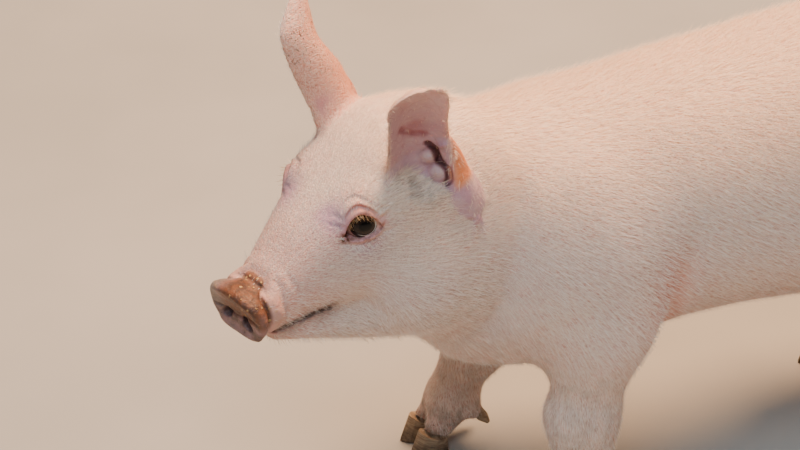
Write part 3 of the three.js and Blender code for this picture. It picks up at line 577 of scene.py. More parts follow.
@dataclass(frozen=True)
class EarRelief:
    """The crease, the lumps and the pocket in the cup of an ear, in the head's frame."""

    crease: tuple[Triple, ...] = (
        (33, 26.8, 56.7), (31.3, 29, 54.2), (29.7, 29.9, 47.2),
        (28.9, 34.5, 44.7), (28.9, 35.7, 39.4), (30.1, 35, 37.8),
    )
    lumps: tuple[Triple, ...] = ((32.5, 26.4, 49.8), (31.2, 30.5, 42.3))
    pocket: Triple = (39.5, 24.6, 67.9)
    pocket_edge: tuple[Triple, ...] = ((47.2, 26, 69.8), (39.5, 24.2, 63.8), (35.6, 27.2, 63))

    def from_line(self, h: Array, line: Sequence[Triple]) -> Array:
        """Distances of points of the head to a bending line."""
        least = np.full(len(h), FAR)
        corners = np.array(line, float)
        for a, b in zip(corners, corners[1:]):
            t = np.clip((h - a) @ (b - a) / ((b - a) @ (b - a)), 0.0, 1.0)
            least = np.minimum(least, np.linalg.norm(h - a - t[:, None] * (b - a), axis=1))
        return least

    def from_lumps(self, h: Array) -> Array:
        """Distances of points of the head to the nearest lump."""
        return np.min([np.linalg.norm(h - np.array(lump), axis=1) for lump in self.lumps], axis=0)

    def lift(self, h: Array) -> Array:
        """How far the cupped side stands out, in millimetres."""
        height = 3.1 * hump(self.from_lumps(h), 3.2)
        crease = 1.9 * hump(self.from_line(h, self.crease), 1.2)
        height -= crease + 0.8 * hump(self.from_line(h, self.pocket_edge), 1.0)
        return height - hump(np.linalg.norm(h - np.array(self.pocket), axis=1), 4.5)

    def cup(self, h: Array, normal: Array, blade: Array) -> Array:
        """1 on the bare skin inside the ear, on the blade and under it.

        Args:
            h: Points in the head's frame, on the ear's own side.
            normal: The skin's normals there, in the same frame.
            blade: How much of each point is the blade's cupped side.

        Returns:
            The share of each point.
        """
        x, y, z = h.T
        under = ramp(z - x, 2.5, 6.0) * ramp(y, 19.5, 22.5) * ramp(x, 20.0, 24.0) * ramp(x, 57.0, 51.0)
        under *= ramp(z, 70.0, 62.0) * ramp(normal[:, 0], -0.25, 0.2)
        return np.maximum(blade, under)


@dataclass(frozen=True)
class Ear:
    """One ear: its blade, and the lobe that hangs from its rear margin."""

    blade: Leaf
    lobe: Leaf
    relief: EarRelief = EarRelief()
    low: Triple = (-5.0, 8.0, 2.0)  # corners of the box that holds the ear
    high: Triple = (78.0, 68.0, 126.0)

    def __call__(self, h: Array) -> Array:
        """Distances to the ear, for points already on the ear's own side."""
        return blend(self.blade(h), self.lobe(h), 2.2)

    def share(self, h: Array) -> Array:
        """1 on the blade, for points already on the ear's own side."""
        return ramp(self.blade(h), 2.6, 1.2)

    def near(self, h: Array) -> Array:
        """The numbers of the points that lie in the ear's box."""
        return np.flatnonzero(np.all((h > np.array(self.low)) & (h < np.array(self.high)), axis=1))

    def thinned(self, h: Array, thick: "Ear", depth: float) -> Array:
        """Moves points of a thickened ear to the ear's own surface.

        Args:
            h: Points on the surface of the thickened ear, on the ear's own side.
            thick: The thickened ear.
            depth: How far the points lie inside the thickened ear's own surface.

        Returns:
            How far each point moves.
        """
        share = ramp(thick.lobe(h) - thick.blade(h), -1.5, 1.5)[:, None]
        moves = []
        for own, wide in ((self.blade, thick.blade), (self.lobe, thick.lobe)):
            spot = wide.places(h)
            ratio = (own.half(spot.along) - depth) / (wide.half(spot.along) - depth)
            move = -spot.off * (1.0 - ratio)
            edge = ramp(np.abs(spot.across), 0.35, 1.0)
            move += 0.18 * edge * np.sin(spot.along * 17.0 + 2.0 * spot.across)
            middle = own.levels()[0]
            tip = unit(middle[-1] - middle[-3])
            beyond = 0.7 * spot.past * (spot.along > 0.5)
            moves.append(move[:, None] * spot.normal - beyond[:, None] * tip)
        return moves[0] * share + moves[1] * (1.0 - share)


THICK = 6.4  # the ears' thickness in the distance field, in millimetres, so that a coarse grid holds them


def ear_shapes(least: float) -> dict[Side, Ear]:
    """Both ears.

    Args:
        least: The least thickness of their sheets.

    Returns:
        The ear on each side.
    """
    thick = (4.8, 4.1, 3.4, 2.9, 2.5, 2.0)
    lobe = Leaf(
        front=((31, 34, 56), (29, 35, 46), (29, 36.5, 36), (29, 38, 28), (25, 39.5, 20), (20, 40, 16.5)),
        rear=((27, 33, 62), (21, 34, 52), (17, 35, 40), (13.5, 37.5, 29), (13, 39, 21), (17, 40, 16.6)),
        depth=(2, 2, 2.5, 2.5, 1.5, 0.5),
        thick=(3.6, 3.3, 3.0, 2.7, 2.4, 2.0),
        least=least,
    )
    left = Leaf(
        front=((53, 21, 46), (55, 25, 58), (58.5, 30, 75), (60.5, 34, 90), (52, 39.5, 97), (42, 43.5, 94.5)),
        rear=(
            (25, 28, 34), (26, 33, 48), (28.5, 36, 60), (33, 40.5, 75), (36, 44.5, 86), (37.5, 45.5, 91.5),
        ),
        depth=(7, 8, 9, 7.5, 5, 2),
        thick=thick,
        least=least,
    )
    right = Leaf(
        front=((53, 21, 46), (55.5, 27, 64), (60, 31.5, 83), (60.5, 35, 97), (51, 40, 105), (40, 45.5, 109)),
        rear=(
            (21, 28, 36), (24, 33, 50), (27.5, 36.5, 65), (35.5, 41, 80), (36.5, 45.5, 93), (36, 47.5, 106),
        ),
        depth=(7, 8, 8, 6.5, 4.5, 1.5),
        thick=thick,
        least=least,
    )
    return {Side.LEFT: Ear(left, lobe), Side.RIGHT: Ear(right, lobe)}


@dataclass(frozen=True)
class Head:
    """The skull, muzzle, jaw, ears and disc, in the head's own frame."""

    skull: Tube = Tube(
        (
            (-6, 45, -24, 33), (14, 54, -24, 37), (34, 60, -24, 37.5), (50, 56, -20, 33.5),
            (60, 50.5, -18, 30.4), (69, 45, -17, 26.8), (80, 37.5, -15.5, 23.2), (92, 29, -14, 19),
            (104, 18.9, -13, 16.2), (114, 13.1, -12.5, 15),
        ),
        2.35,
    )
    jaw: Tube = Tube(
        (
            (0, -4, -48, 31), (30, -5, -52.5, 31), (53, -7, -48.5, 24), (70, -9, -41.5, 18.5),
            (86, -10.5, -33, 14.5), (100, -11.5, -26, 11.5), (109, -12.5, -21.3, 9),
        ),
        2.1,
    )
    cheek: Ellipsoid = Ellipsoid((33, 24, -12), (30, 18, 30))
    brow: Ellipsoid = Ellipsoid((61, 18, 35), (13, 8.5, 8))
    ear_hollow: Ellipsoid = Ellipsoid((42, 34, 58), (13, 14, 21), 0.15)
    hollow_fillet: float = 6.0
    socket: EyeSocket = EyeSocket()
    disc: SnoutDisc = SnoutDisc()
    mouth: Mouth = Mouth()

    def masses(self, h: Array) -> Array:
        """Distances to the skull, cheeks, brows and jaw."""
        q = folded(h)
        d = blend(self.skull(h), self.cheek(q), 12.0)
        d = blend(d, self.brow(q), 8.0)
        return blend(d, self.jaw(h), 9.0)

    def features(self, d: Array, h: Array, detail: Detail) -> Array:
        """Adds the ears, lids and disc to the whole body's distances.

        Args:
            d: Distances to the body, worked out at the same points.
            h: The points in the head's frame.
            detail: How much of the form to add.

        Returns:
            Distances to the body with its features.
        """
        q = folded(h)
        d = carve(d, self.ear_hollow(q), self.hollow_fillet)
        for side, ear in ear_shapes(THICK).items():
            own = h * side.flip
            d = blend(d, Near(ear, ear.low, ear.high)(own), 4.0)
        e = self.socket.local(q)
        lids = np.linalg.norm(e, axis=1) - self.socket.radius - self.socket.lid
        d = blend(d, np.maximum(lids, 2.0 - e[:, 0]), 3.5)
        d = blend(d, Near(self.disc, (100, -40, -30), (145, 40, 40))(h), 1.6)
        if detail is Detail.FINE:
            d = d + self.sink(h, q, e)
        d = carve(d, self.socket.pocket(e), 1.0)
        return carve(d, self.disc.holes(h), 1.2)

    def sink(self, h: Array, q: Array, e: Array) -> Array:
        """How far folds, wrinkles and lips sink the skin of the head.

        Args:
            h: Points in the head's frame.
            q: The same points, brought to the left half.
            e: The same points in the eye's frame.

        Returns:
            Depths, in millimetres.
        """
        x, z = h[:, 0], h[:, 2]
        upper_side = ramp(z, -9.0, -2.0)
        turn = np.arctan2(z - self.disc.middle, q[:, 1])
        wander = 0.9 * np.sin(3.0 * turn + 0.8) + 0.5 * np.sin(7.0 * turn)
        reach = x - self.disc.back - self.disc.groove
        behind_disc = 1.15 * hump(self.disc.ahead(h, turn), 1.1 + 0.5 * ramp(turn, 0.6, 1.25)) * upper_side
        collar = 0.9 * hump(reach + 10.2 - 1.4 * np.sin(turn) - wander, 1.3)
        collar *= ramp(z, -7.0, 1.0) * ramp(turn, 1.15, 0.7)
        swell = -0.8 * hump(reach + 5.2 - 1.2 * np.sin(turn), 2.8)
        swell = swell * ramp(z, -6.0, 0.0) * ramp(turn, 1.2, 0.6)
        third = 0.45 * hump(reach + 16.5 - 2.5 * np.sin(turn) + wander, 1.4)
        third *= ramp(z, -2.0, 6.0) * ramp(turn, 1.3, 0.7)
        dent = 1.2 * hump(np.hypot(reach + 3.2, (turn - 0.9) * 12.0), 3.0)
        wrinkles = (behind_disc + collar + swell + third + dent) * ramp(x, 92.0, 98.0)
        wrinkles *= ramp(x, 126.0, 121.0)
        lips = self.mouth.sink(h) * ramp(x, 70.0, 80.0)
        return self.socket.folds(e) + lips + wrinkles - self.disc.wings(h)


# ------------------------------------------------------------------ the body


@dataclass(frozen=True)
class Leg:
    """One leg: where its joints are, and how thick it is."""

    side: Side
    fore: bool
    top: Triple  # elbow or stifle
    joint: Triple  # knee or hock
    fetlock: Triple
    toe: tuple[float, float]
    claw_apart: float = 6.8
    heel: float = 8.5
    crown: float = 15.5
    claw_length: float = 21.0
    claw_lean: float = 3.2

    @property
    def word(self) -> str:
        """The leg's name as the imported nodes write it."""
        return f"{'foreleg' if self.fore else 'hindleg'}_{self.side.word}"

    def digits(self, p: Array) -> Array:
        """Distances to the two digits above the claws, and the bases of the dewclaws."""
        (fx, fy, fz), (tx, ty) = self.fetlock, self.toe
        d = np.full(len(p), FAR)
        for s, k in ((-1, 1.0), (1, 2.0)):
            foot = (tx + 2.5, ty + s * self.claw_apart, self.heel + 2)
            one = Limb((fx, fy + s * 4, fz - 3), foot, 9, 7.6, 0.72)
            spur = Limb((fx + 5, fy + s * 5, fz - 1), (fx + 10, fy + s * 7.2, fz - 8), 5.6, 4)
            d = blend(d, blend(one(p), spur(p), 4.0), k)
        return d

    def __call__(self, p: Array) -> Array:
        """Distances to the leg below its top joint."""
        x, y, z = self.joint
        if self.fore:
            d = Limb(self.top, self.joint, 20.5, 17, 0.78)(p)
            d = blend(d, Limb((x - 1.5, y, z - 3), (x - 0.5, y, z - 10), 17.2, 16, 0.82)(p), 6)
            d = blend(d, Limb(self.joint, self.fetlock, 14.8, 12.8, 0.83)(p), 8)
        else:
            d = Limb(self.top, self.joint, 25, 13, 0.74)(p)
            d = blend(d, Limb((x + 5, y, z + 6), (x - 3, y, z - 12), 11, 12.4, 0.85)(p), 6)
            d = blend(d, Limb(self.joint, self.fetlock, 12.4, 11.4, 0.85)(p), 8)
        return blend(d, self.digits(p), 8)

    def crown_plane(self, p: Array) -> Array:
        """Heights over the sloping plane where the skin ends and the claws begin."""
        normal = unit(np.array([self.crown - self.heel, 0.0, self.claw_length]))
        point = np.array([self.toe[0] - self.claw_length / 2 + self.claw_lean, self.toe[1], self.crown])
        return (p - point) @ normal

    def root(self, p: Array) -> Array:
        """Distances to the shoulder or the ham that carries the leg."""
        s = self.side.body
        if self.fore:
            blade = Ellipsoid((-82, s * 30, 154), (33, 20, 44), -0.25)(p)
            return blend(blade, Limb((-86, s * 36, 140), self.top, 28, 21, 0.72)(p), 16)
        ham = Ellipsoid((112, s * 28, 166), (45, 26, 54), 0.2)(p)
        return blend(ham, Limb((106, s * 34, 146), self.top, 35, 23, 0.7)(p), 22)


LEGS = (
    Leg(Side.LEFT, True, (-73, -43, 117), (-77.5, -40, 68), (-74, -40, 29), (-81, -40)),
    Leg(Side.RIGHT, True, (-70, 42, 118), (-97, 41, 67), (-112, 41, 29), (-125, 41)),
    Leg(Side.LEFT, False, (86, -40, 113), (138, -41, 67), (128, -41, 29), (120, -41)),
    Leg(Side.RIGHT, False, (74, 40, 113), (118, 41, 67), (104, 41, 29), (96, 41)),
)


@dataclass(frozen=True)
class Flesh:
    """The whole pig's flesh as one distance field, in millimetres."""

    pose: HeadPose = HeadPose()
    head: Head = Head()
    trunk: Tube = Tube(
        (
            (-132, 199, 100, 36), (-108, 211, 88, 44), (-80, 218.5, 85, 50), (-45, 225, 93, 54),
            (0, 231, 97, 56), (45, 238, 96, 57), (85, 242, 101, 56),
            (120, 240, 116, 52), (148, 229, 140, 43),
        ),
        2.15,
    )
    rump: Ellipsoid = Ellipsoid((124, 0, 182), (48, 50, 54))
    tail: Whip = Whip(
        (
            (150, 0, 207), (166, 0, 209), (177, 1, 200), (180, 3, 184), (177, 2, 168), (174, -2, 156),
            (178, -6, 147),
        ),
        (8.5, 7.4, 6, 5, 4.1, 3.2, 2),
    )
    skin_depth: float = 0.45  # the skin lies this far inside the solids, to leave room for the coat
    teat_rows: tuple[float, float] = (-62.0, 78.0)
    teat_count: int = 6

    def body(self, p: Array) -> Array:
        """Distances to the trunk, the neck and the legs with the head's masses."""
        to_body = self.pose.to_body
        d = blend(self.trunk(p), self.rump(p), 24)
        neck = Limb((-84, 0, 158), tuple(to_body((12, 0, 10))), 50, 40, 0.9)
        throat = Limb((-116, 0, 127), tuple(to_body((34, 0, -23))), 41, 25, 0.9)
        d = blend(blend(d, neck(p), 24), throat(p), 20)
        for leg in LEGS:
            d = blend(d, leg.root(p), 22 if leg.fore else 24)
        d = blend(d, self.head.masses(self.pose.to_head(p)), 14)
        for leg in LEGS:
            d = blend(d, leg(p), 14)
        return d

    def folds(self, p: Array) -> Array:
        """How far creases and soft swellings sink or lift the skin of the body."""
        x, y, z = p.T
        side = np.abs(y)
        flank = ramp(side, 20.0, 40.0)
        behind_elbow = 2.4 * hump(x + 40.0 - 0.16 * (z - 130.0), 6.0) * flank * ramp(z, 95.0, 120.0)
        behind_elbow *= ramp(z, 190.0, 150.0)
        stifle = -1.4 * hump(x - 62.0 + 0.35 * (z - 130.0), 9.0) * flank
        stifle = stifle * ramp(z, 95.0, 115.0) * ramp(z, 165.0, 135.0)
        before_ham = 1.2 * hump(x - 78.0 + 0.2 * (z - 150.0), 8.0) * flank * ramp(z, 118.0, 140.0)
        before_ham *= ramp(z, 205.0, 170.0)
        spine = 0.5 * hump(y, 7.0) * ramp(z, 190.0, 205.0) * ramp(x, -90.0, -40.0)
        h = self.pose.to_head(p)
        beside = ramp(np.abs(h[:, 1]), 18.0, 32.0) * ramp(h[:, 2], 34.0, 10.0) * ramp(h[:, 2], -70.0, -40.0)
        jowl = 1.5 * hump(h[:, 0] + 4.0 + 0.25 * h[:, 2], 5.5)
        jowl -= 0.9 * hump(h[:, 0] - 10.0 + 0.25 * h[:, 2], 9.0)
        jowl *= beside
        blade = -1.1 * hump(x + 70.0 + 0.25 * (z - 150.0), 10.0)
        blade = blade * ramp(side, 25.0, 45.0) * hump(z - 160.0, 32.0)
        cleft = 2.2 * hump(y, 3.5) * ramp(x, 148.0, 162.0) * ramp(z, 205.0, 190.0) * ramp(z, 118.0, 150.0)
        return behind_elbow + stifle + before_ham + spine + cleft + jowl + blade

    def teats(self, d: Array, p: Array) -> Array:
        """Adds both rows of teats to the body's distances."""
        under = self.trunk.follow(np.linspace(*self.teat_rows, self.teat_count))[:, 1]
        for x, low in zip(np.linspace(*self.teat_rows, self.teat_count), under):
            for s in (-1, 1):
                teat = Ellipsoid((float(x), s * 15.0, float(low) + 2.4), (2.1, 2.1, 4.6))
                box = Near(teat, (x - 12, s * 15.0 - 12, low - 12), (x + 12, s * 15.0 + 12, low + 16))
                d = blend(d, box(p), 2.4)
        return d

    def field(self, detail: Detail) -> Field:
        """The distance field of the skin.

        Args:
            detail: How much of the form it carries.

        Returns:
            A function from points in millimetres to distances.
        """

        def distances(p: Array) -> Array:
            """Distances to the skin."""
            d = self.body(p)
            if detail is Detail.FINE:
                d = d + self.folds(p)
                d = self.teats(d, p)
            h = self.pose.to_head(p)
            d = self.head.features(d, h, detail)
            d = blend(d, Near(self.tail, (140, -30, 130), (200, 30, 230))(p), 7.0)
            for leg in LEGS:
                x, y = leg.toe
                box = (np.abs(p[:, 0] - x) < 45) & (np.abs(p[:, 1] - y) < 30) & (p[:, 2] < 45)
                d[box] = carve(d[box], leg.crown_plane(p[box]), 1.5)
            return d + self.skin_depth

        return distances


FLESH = Flesh()


# ------------------------------------------------------------------ fields into meshes


@dataclass
class Surface:
    """Points in millimetres and the triangles between them."""

    points: Array
    triangles: Array

    def normals_and_distances(self, form: Field, step: float = 0.08) -> tuple[Array, Array, Array]:
        """The field's unit normals, slopes and distances at the points."""
        d = form(self.points)
        slope = np.empty_like(self.points)
        for axis in range(3):
            ahead = self.points.copy()
            ahead[:, axis] += step
            slope[:, axis] = (form(ahead) - d) / step
        size = np.linalg.norm(slope, axis=1)
        return slope / np.maximum(size, 1e-6)[:, None], size, d

    def facing(self) -> Array:
        """The mesh's own normal at every point."""
        corners = self.points[self.triangles]
        flat = np.cross(corners[:, 1] - corners[:, 0], corners[:, 2] - corners[:, 0])
        index = self.triangles.ravel()
        total = [np.bincount(index, np.repeat(flat[:, m], 3), len(self.points)) for m in range(3)]
        return unit(np.stack(total, axis=1))

    def pinched(self) -> Array:
        """The numbers of the points on edges that have not just two triangles."""
        ends = np.stack([self.triangles, np.roll(self.triangles, -1, axis=1)], axis=2).reshape(-1, 2)
        edges, count = np.unique(np.sort(ends, axis=1), axis=0, return_counts=True)
        return np.unique(edges[count != 2])

    def neighbour_means(self) -> Array:
        """The mean of every point's neighbours."""
        a = self.triangles.ravel()
        b = np.roll(self.triangles, -1, axis=1).ravel()
        count = np.bincount(a, minlength=len(self.points)).astype(float)
        total = np.stack([np.bincount(a, self.points[b, m], len(self.points)) for m in range(3)], axis=1)
        return total / np.maximum(count, 1.0)[:, None]

    def settle(self, form: Field, rounds: int, evening: float, reach: float) -> None:
        """Evens the points out along the surface and puts each one on it.

        Args:
            form: The distance field of the surface.
            rounds: How often to do both.
            evening: How far a point goes towards its neighbours' mean.
            reach: The longest single step onto the surface.
        """
        for _ in range(rounds):
            normal, slope, d = self.normals_and_distances(form)
            along = self.neighbour_means() - self.points
            along -= np.sum(along * normal, axis=1, keepdims=True) * normal
            step = np.clip(d / np.maximum(slope, 0.5), -reach, reach)
            self.points += along * evening - normal * step[:, None]

    def split(self, chosen: Array) -> None:
        """Splits the chosen triangles into four and their neighbours to match."""
        corners = self.triangles
        edges = np.stack([corners, np.roll(corners, -1, axis=1)], axis=2)
        edges.sort(axis=2)
        key = edges[..., 0].astype(np.int64) * len(self.points) + edges[..., 1]
        unique, inverse = np.unique(key, return_inverse=True)
        inverse = inverse.reshape(-1, 3)
        cut = np.zeros(len(unique), bool)
        cut[inverse[chosen]] = True
        middle = np.full(len(unique), -1, np.int64)
        middle[cut] = len(self.points) + np.arange(cut.sum())
        a, b = unique[cut] // len(self.points), unique[cut] % len(self.points)
        self.points = np.vstack([self.points, (self.points[a] + self.points[b]) / 2.0])
        m = middle[inverse]
        count = (m >= 0).sum(axis=1)
        parts = [corners[count == 0]]
        for number in (1, 2, 3):
            rows = np.flatnonzero(count == number)
            lead = (m[rows] >= 0) if number == 1 else (np.roll(m[rows], -2, axis=1) < 0)
            turn = np.argmax(lead, axis=1) if number < 3 else np.zeros(len(rows), int)
            order = (turn[:, None] + np.arange(3)) % 3
            v0, v1, v2 = np.take_along_axis(corners[rows], order, axis=1).T
            n0, n1, n2 = np.take_along_axis(m[rows], order, axis=1).T
            if number == 1:
                faces = [(n0, v1, v2), (v0, n0, v2)]
            elif number == 2:
                faces = [(n0, v1, n1), (v0, n0, n1), (v0, n1, v2)]
            else:
                faces = [(v0, n0, n2), (n0, v1, n1), (n2, n1, v2), (n0, n1, n2)]
            parts.extend(np.stack(face, axis=1) for face in faces)
        self.triangles = np.vstack(parts)

    def centres(self) -> Array:
        """The middle of every triangle."""
        return self.points[self.triangles].mean(axis=1)


def sampled(form: Field, low: Array, high: Array, cell: float, block: int = 4) -> Array:
    """Samples a field on a grid, finely only near its surface.

    Args:
        form: The distance field.
        low: The grid's lowest corner.
        high: The corner that it has to reach.
        cell: The grid's spacing.
        block: Grid steps in a coarse step.

    Returns:
        The grid of values.
    """
    blocks = np.ceil((high - low) / (cell * block)).astype(int)
    coarse_axes = [low[m] + np.arange(blocks[m] + 1) * cell * block for m in range(3)]
    coarse = np.stack(np.meshgrid(*coarse_axes, indexing="ij"), axis=-1).reshape(-1, 3)
    values = form(coarse).reshape(blocks + 1)
    reach = cell * block * 1.15
    nearest = np.abs(values[:-1, :-1, :-1])
    for i, j, k in np.ndindex(2, 2, 2):
        shifted = values[i : blocks[0] + i, j : blocks[1] + j, k : blocks[2] + k]
        nearest = np.minimum(nearest, np.abs(shifted))
    grid = np.repeat(np.repeat(np.repeat(values[:-1, :-1, :-1], block, 0), block, 1), block, 2)
    near = np.argwhere(nearest < reach)
    inside = np.stack(np.meshgrid(*[np.arange(block)] * 3, indexing="ij"), axis=-1).reshape(-1, 3)
    cells = (near[:, None, :] * block + inside[None]).reshape(-1, 3)
    grid[tuple(cells.T)] = form(low + cells * cell)
    return grid


def netted(grid: Array, low: Array, cell: float) -> Surface:
    """Turns a grid of distances into a closed surface of small triangles.

    Args:
        grid: The grid of values, below zero inside the form.
        low: The grid's lowest corner.
        cell: The grid's spacing.

    Returns:
        The surface, with its faces pointing out.
    """
    inside = grid < 0.0
    size = np.array(grid.shape) - 1
    count = np.zeros(size, np.int8)
    for i, j, k in np.ndindex(2, 2, 2):
        count += inside[i : size[0] + i, j : size[1] + j, k : size[2] + k]
    cells = np.argwhere((count > 0) & (count < 8))
    index = np.full(size, -1, np.int64)
    index[tuple(cells.T)] = np.arange(len(cells))
    total = np.zeros((len(cells), 3))
    crossings = np.zeros(len(cells))
    for axis in range(3):
        u, v = (axis + 1) % 3, (axis + 2) % 3
        for s, t in np.ndindex(2, 2):
            p = cells.copy()
            p[:, u] += s
            p[:, v] += t
            q = p.copy()
            q[:, axis] += 1
            a, b = grid[tuple(p.T)], grid[tuple(q.T)]
            hit = (a < 0.0) != (b < 0.0)
            point = p.astype(float)
            point[:, axis] += np.where(hit, a / np.where(hit, a - b, 1.0), 0.0)
            total += point * hit[:, None]
            crossings += hit
    points = low + total / crossings[:, None] * cell
    quads = []
    for axis in range(3):
        u, v = (axis + 1) % 3, (axis + 2) % 3
        first = tuple(slice(None, -1) if m == axis else slice(None) for m in range(3))
        second = tuple(slice(1, None) if m == axis else slice(None) for m in range(3))
        edges = np.argwhere(inside[first] != inside[second])
        beside = edges[:, [u, v]]
        edges = edges[np.all((beside > 0) & (beside < size[[u, v]]), axis=1)]
        ring = []
        for s, t in ((0, 0), (1, 0), (1, 1), (0, 1)):
            corner = edges.copy()
            corner[:, u] -= s
            corner[:, v] -= t
            ring.append(index[tuple(corner.T)])
        quad = np.stack(ring, axis=1)
        over = ~inside[tuple(edges.T)]
        quad[over] = quad[over][:, ::-1]
        quads.append(quad)
    quad = np.vstack(quads)
    one = np.linalg.norm(points[quad[:, 0]] - points[quad[:, 2]], axis=1)
    other = np.linalg.norm(points[quad[:, 1]] - points[quad[:, 3]], axis=1)
    turned = np.where((one > other)[:, None], np.roll(quad, -1, axis=1), quad)
    triangles = np.vstack([turned[:, [0, 1, 2]], turned[:, [0, 2, 3]]])
    return Surface(points, triangles)


def mended(grid: Array, low: Array, cell: float, rounds: int = 8) -> Surface:
    """Nets a grid, and fills the cells in which the surface would touch itself.

    Args:
        grid: The grid of values, below zero inside the form.
        low: The grid's lowest corner.
        cell: The grid's spacing.
        rounds: How often to look again.

    Returns:
        The surface.
    """
    surface = netted(grid, low, cell)
    for _ in range(rounds):
        bad = surface.pinched()
        if not len(bad):
            break
        home = np.floor((surface.points[bad] - low) / cell).astype(int)
        for step in np.ndindex(2, 2, 2):
            at = tuple((home + np.array(step)).T)
            grid[at] = np.minimum(grid[at], -0.1 * cell)
        surface = netted(grid, low, cell)
    return surface


def placed(name: str, data: bpy.types.ID) -> bpy.types.Object:
    """An object for some data, at the origin and linked to the scene."""
    obj = bpy.data.objects.new(name, data)
    bpy.context.scene.collection.objects.link(obj)
    return obj


def plain_object(name: str, points: Array, faces: Array | list, smooth: bool = True) -> bpy.types.Object:
    """Makes a mesh object that stands at the origin.

    Args:
        name: The object's name.
        points: Its vertices, in metres.
        faces: Its faces, as rows of vertex numbers.
        smooth: Whether it is shaded smoothly.

    Returns:
        The object, linked to the scene.
    """
    mesh = bpy.data.meshes.new(name)
    mesh.from_pydata(points, [], faces)
    mesh.polygons.foreach_set("use_smooth", np.full(len(mesh.polygons), smooth))
    mesh.update()
    return placed(name, mesh)


def paint(obj: bpy.types.Object, name: str, kind: str, domain: str, values: Array) -> None:
    """Stores one attribute on a mesh.

    Args:
        obj: The object whose mesh takes it.
        name: The attribute's name.
        kind: Its data type.
        domain: What it is stored on.
        values: One value, or one row, for each element.
    """
    attribute = obj.data.attributes.new(name, kind, domain)
    key = "value" if kind in ("FLOAT", "INT") else "vector"
    attribute.data.foreach_set(key, np.ascontiguousarray(values).ravel())


# ------------------------------------------------------------------ materials


@dataclass
class Nodes:
    """A tree of nodes, built in short steps."""

    name: str
    tree: bpy.types.NodeTree = field(init=False)

    def add(self, kind: str, inputs: dict, **settings) -> bpy.types.Node:
        """Adds a node.

        Args:
            kind: The node's type.
            inputs: Values or sockets for its inputs, by name or number.
            **settings: Its properties.

        Returns:
            The node.
        """
        node = self.tree.nodes.new(kind)
        for key, value in settings.items():
            setattr(node, key, value)
        for key, value in inputs.items():
            if isinstance(value, Socket):
                self.tree.links.new(value, node.inputs[key])
            else:
                node.inputs[key].default_value = value
        return node

    def math(self, kind: str, a: object, b: object = 0.0) -> Socket:
        """One sum on two values."""
        return self.add("ShaderNodeMath", {0: a, 1: b}, operation=kind).outputs[0]

    def times(self, a: object, b: object) -> Socket:
        """The product of two values."""
        return self.math("MULTIPLY", a, b)


@dataclass
class Shader(Nodes):
    """The nodes of a material."""

    material: bpy.types.Material = field(init=False)

    def __post_init__(self) -> None:
        """Starts the material with no nodes."""
        self.material = bpy.data.materials.new(self.name)
        self.material.use_nodes = True
        self.tree = self.material.node_tree
        self.tree.nodes.clear()

    def mask(self, name: str) -> Socket:
        """The value of a mesh attribute."""
        return self.add("ShaderNodeAttribute", {}, attribute_name=name).outputs["Fac"]

    def place(self, scale: Triple = (1, 1, 1), turn: Triple = (0, 0, 0)) -> Socket:
        """Object coordinates, turned and then stretched."""
        here = self.add("ShaderNodeTexCoord", {}).outputs["Object"]
        turned = self.add("ShaderNodeMapping", {"Vector": here, "Rotation": turn}, vector_type="TEXTURE")
        return self.add("ShaderNodeMapping", {"Vector": turned.outputs[0], "Scale": scale}).outputs[0]

    def noise(self, place: Socket, scale: float, detail: float = 3.0) -> Socket:
        """Soft noise at a place, with so many features to the metre."""
        inputs = {"Vector": place, "Scale": scale, "Detail": detail, "Roughness": 0.55}
        return self.add("ShaderNodeTexNoise", inputs).outputs["Fac"]

    def cells(self, place: Socket, scale: float) -> Socket:
        """Distances to scattered points, with so many to the metre."""
        return self.add("ShaderNodeTexVoronoi", {"Vector": place, "Scale": scale}).outputs["Distance"]

    def level(
        self, value: Socket, low: float, high: float, start: float = 0.0, end: float = 1.0
    ) -> Socket:
        """Carries a value from low..high to start..end and holds it there."""
        inputs = {"Value": value, "From Min": low, "From Max": high, "To Min": start, "To Max": end}
        return self.add("ShaderNodeMapRange", inputs, interpolation_type="SMOOTHSTEP").outputs[0]

    def diagonal(self, a: Socket, b: Socket) -> Socket:
        """The root of the sum of two squares."""
        return self.math("SQRT", self.math("ADD", self.times(a, a), self.times(b, b)))

    def mix(self, share: object, a: object, b: object, kind: str = "MIX") -> Socket:
        """Mixes two colours."""
        inputs = {0: share, 6: full(a), 7: full(b)}
        node = self.add("ShaderNodeMix", inputs, data_type="RGBA", blend_type=kind, clamp_factor=True)
        return node.outputs[2]

    def bump(self, height: Socket, depth: float, below: object = None) -> Socket:
        """A normal for a height between 0 and 1, with a depth in metres, over another normal."""
        inputs = {"Height": height, "Distance": depth, "Strength": 1.0}
        if below is not None:
            inputs["Normal"] = below
        return self.add("ShaderNodeBump", inputs).outputs[0]

    def finish(self, **sockets) -> bpy.types.Material:
        """Ends the material in one shader.

        Args:
            **sockets: The shader's inputs, with _ for a space in their names.

        Returns:
            The material.
        """
        inputs = {key.replace("_", " "): value for key, value in sockets.items()}
        shader = self.add("ShaderNodeBsdfPrincipled", inputs)
        self.add("ShaderNodeOutputMaterial", {"Surface": shader.outputs[0]})
        return self.material


def full(colour: object) -> object:
    """A colour with its alpha, or a socket as it is."""
    return (*colour, 1.0) if isinstance(colour, tuple) and len(colour) == 3 else colour


def tint(red: int, green: int, blue: int) -> Colour:
    """A screen colour as linear light."""
    shares = (c / 255 for c in (red, green, blue))
    return tuple(c / 12.92 if c <= 0.04045 else ((c + 0.055) / 1.055) ** 2.4 for c in shares)


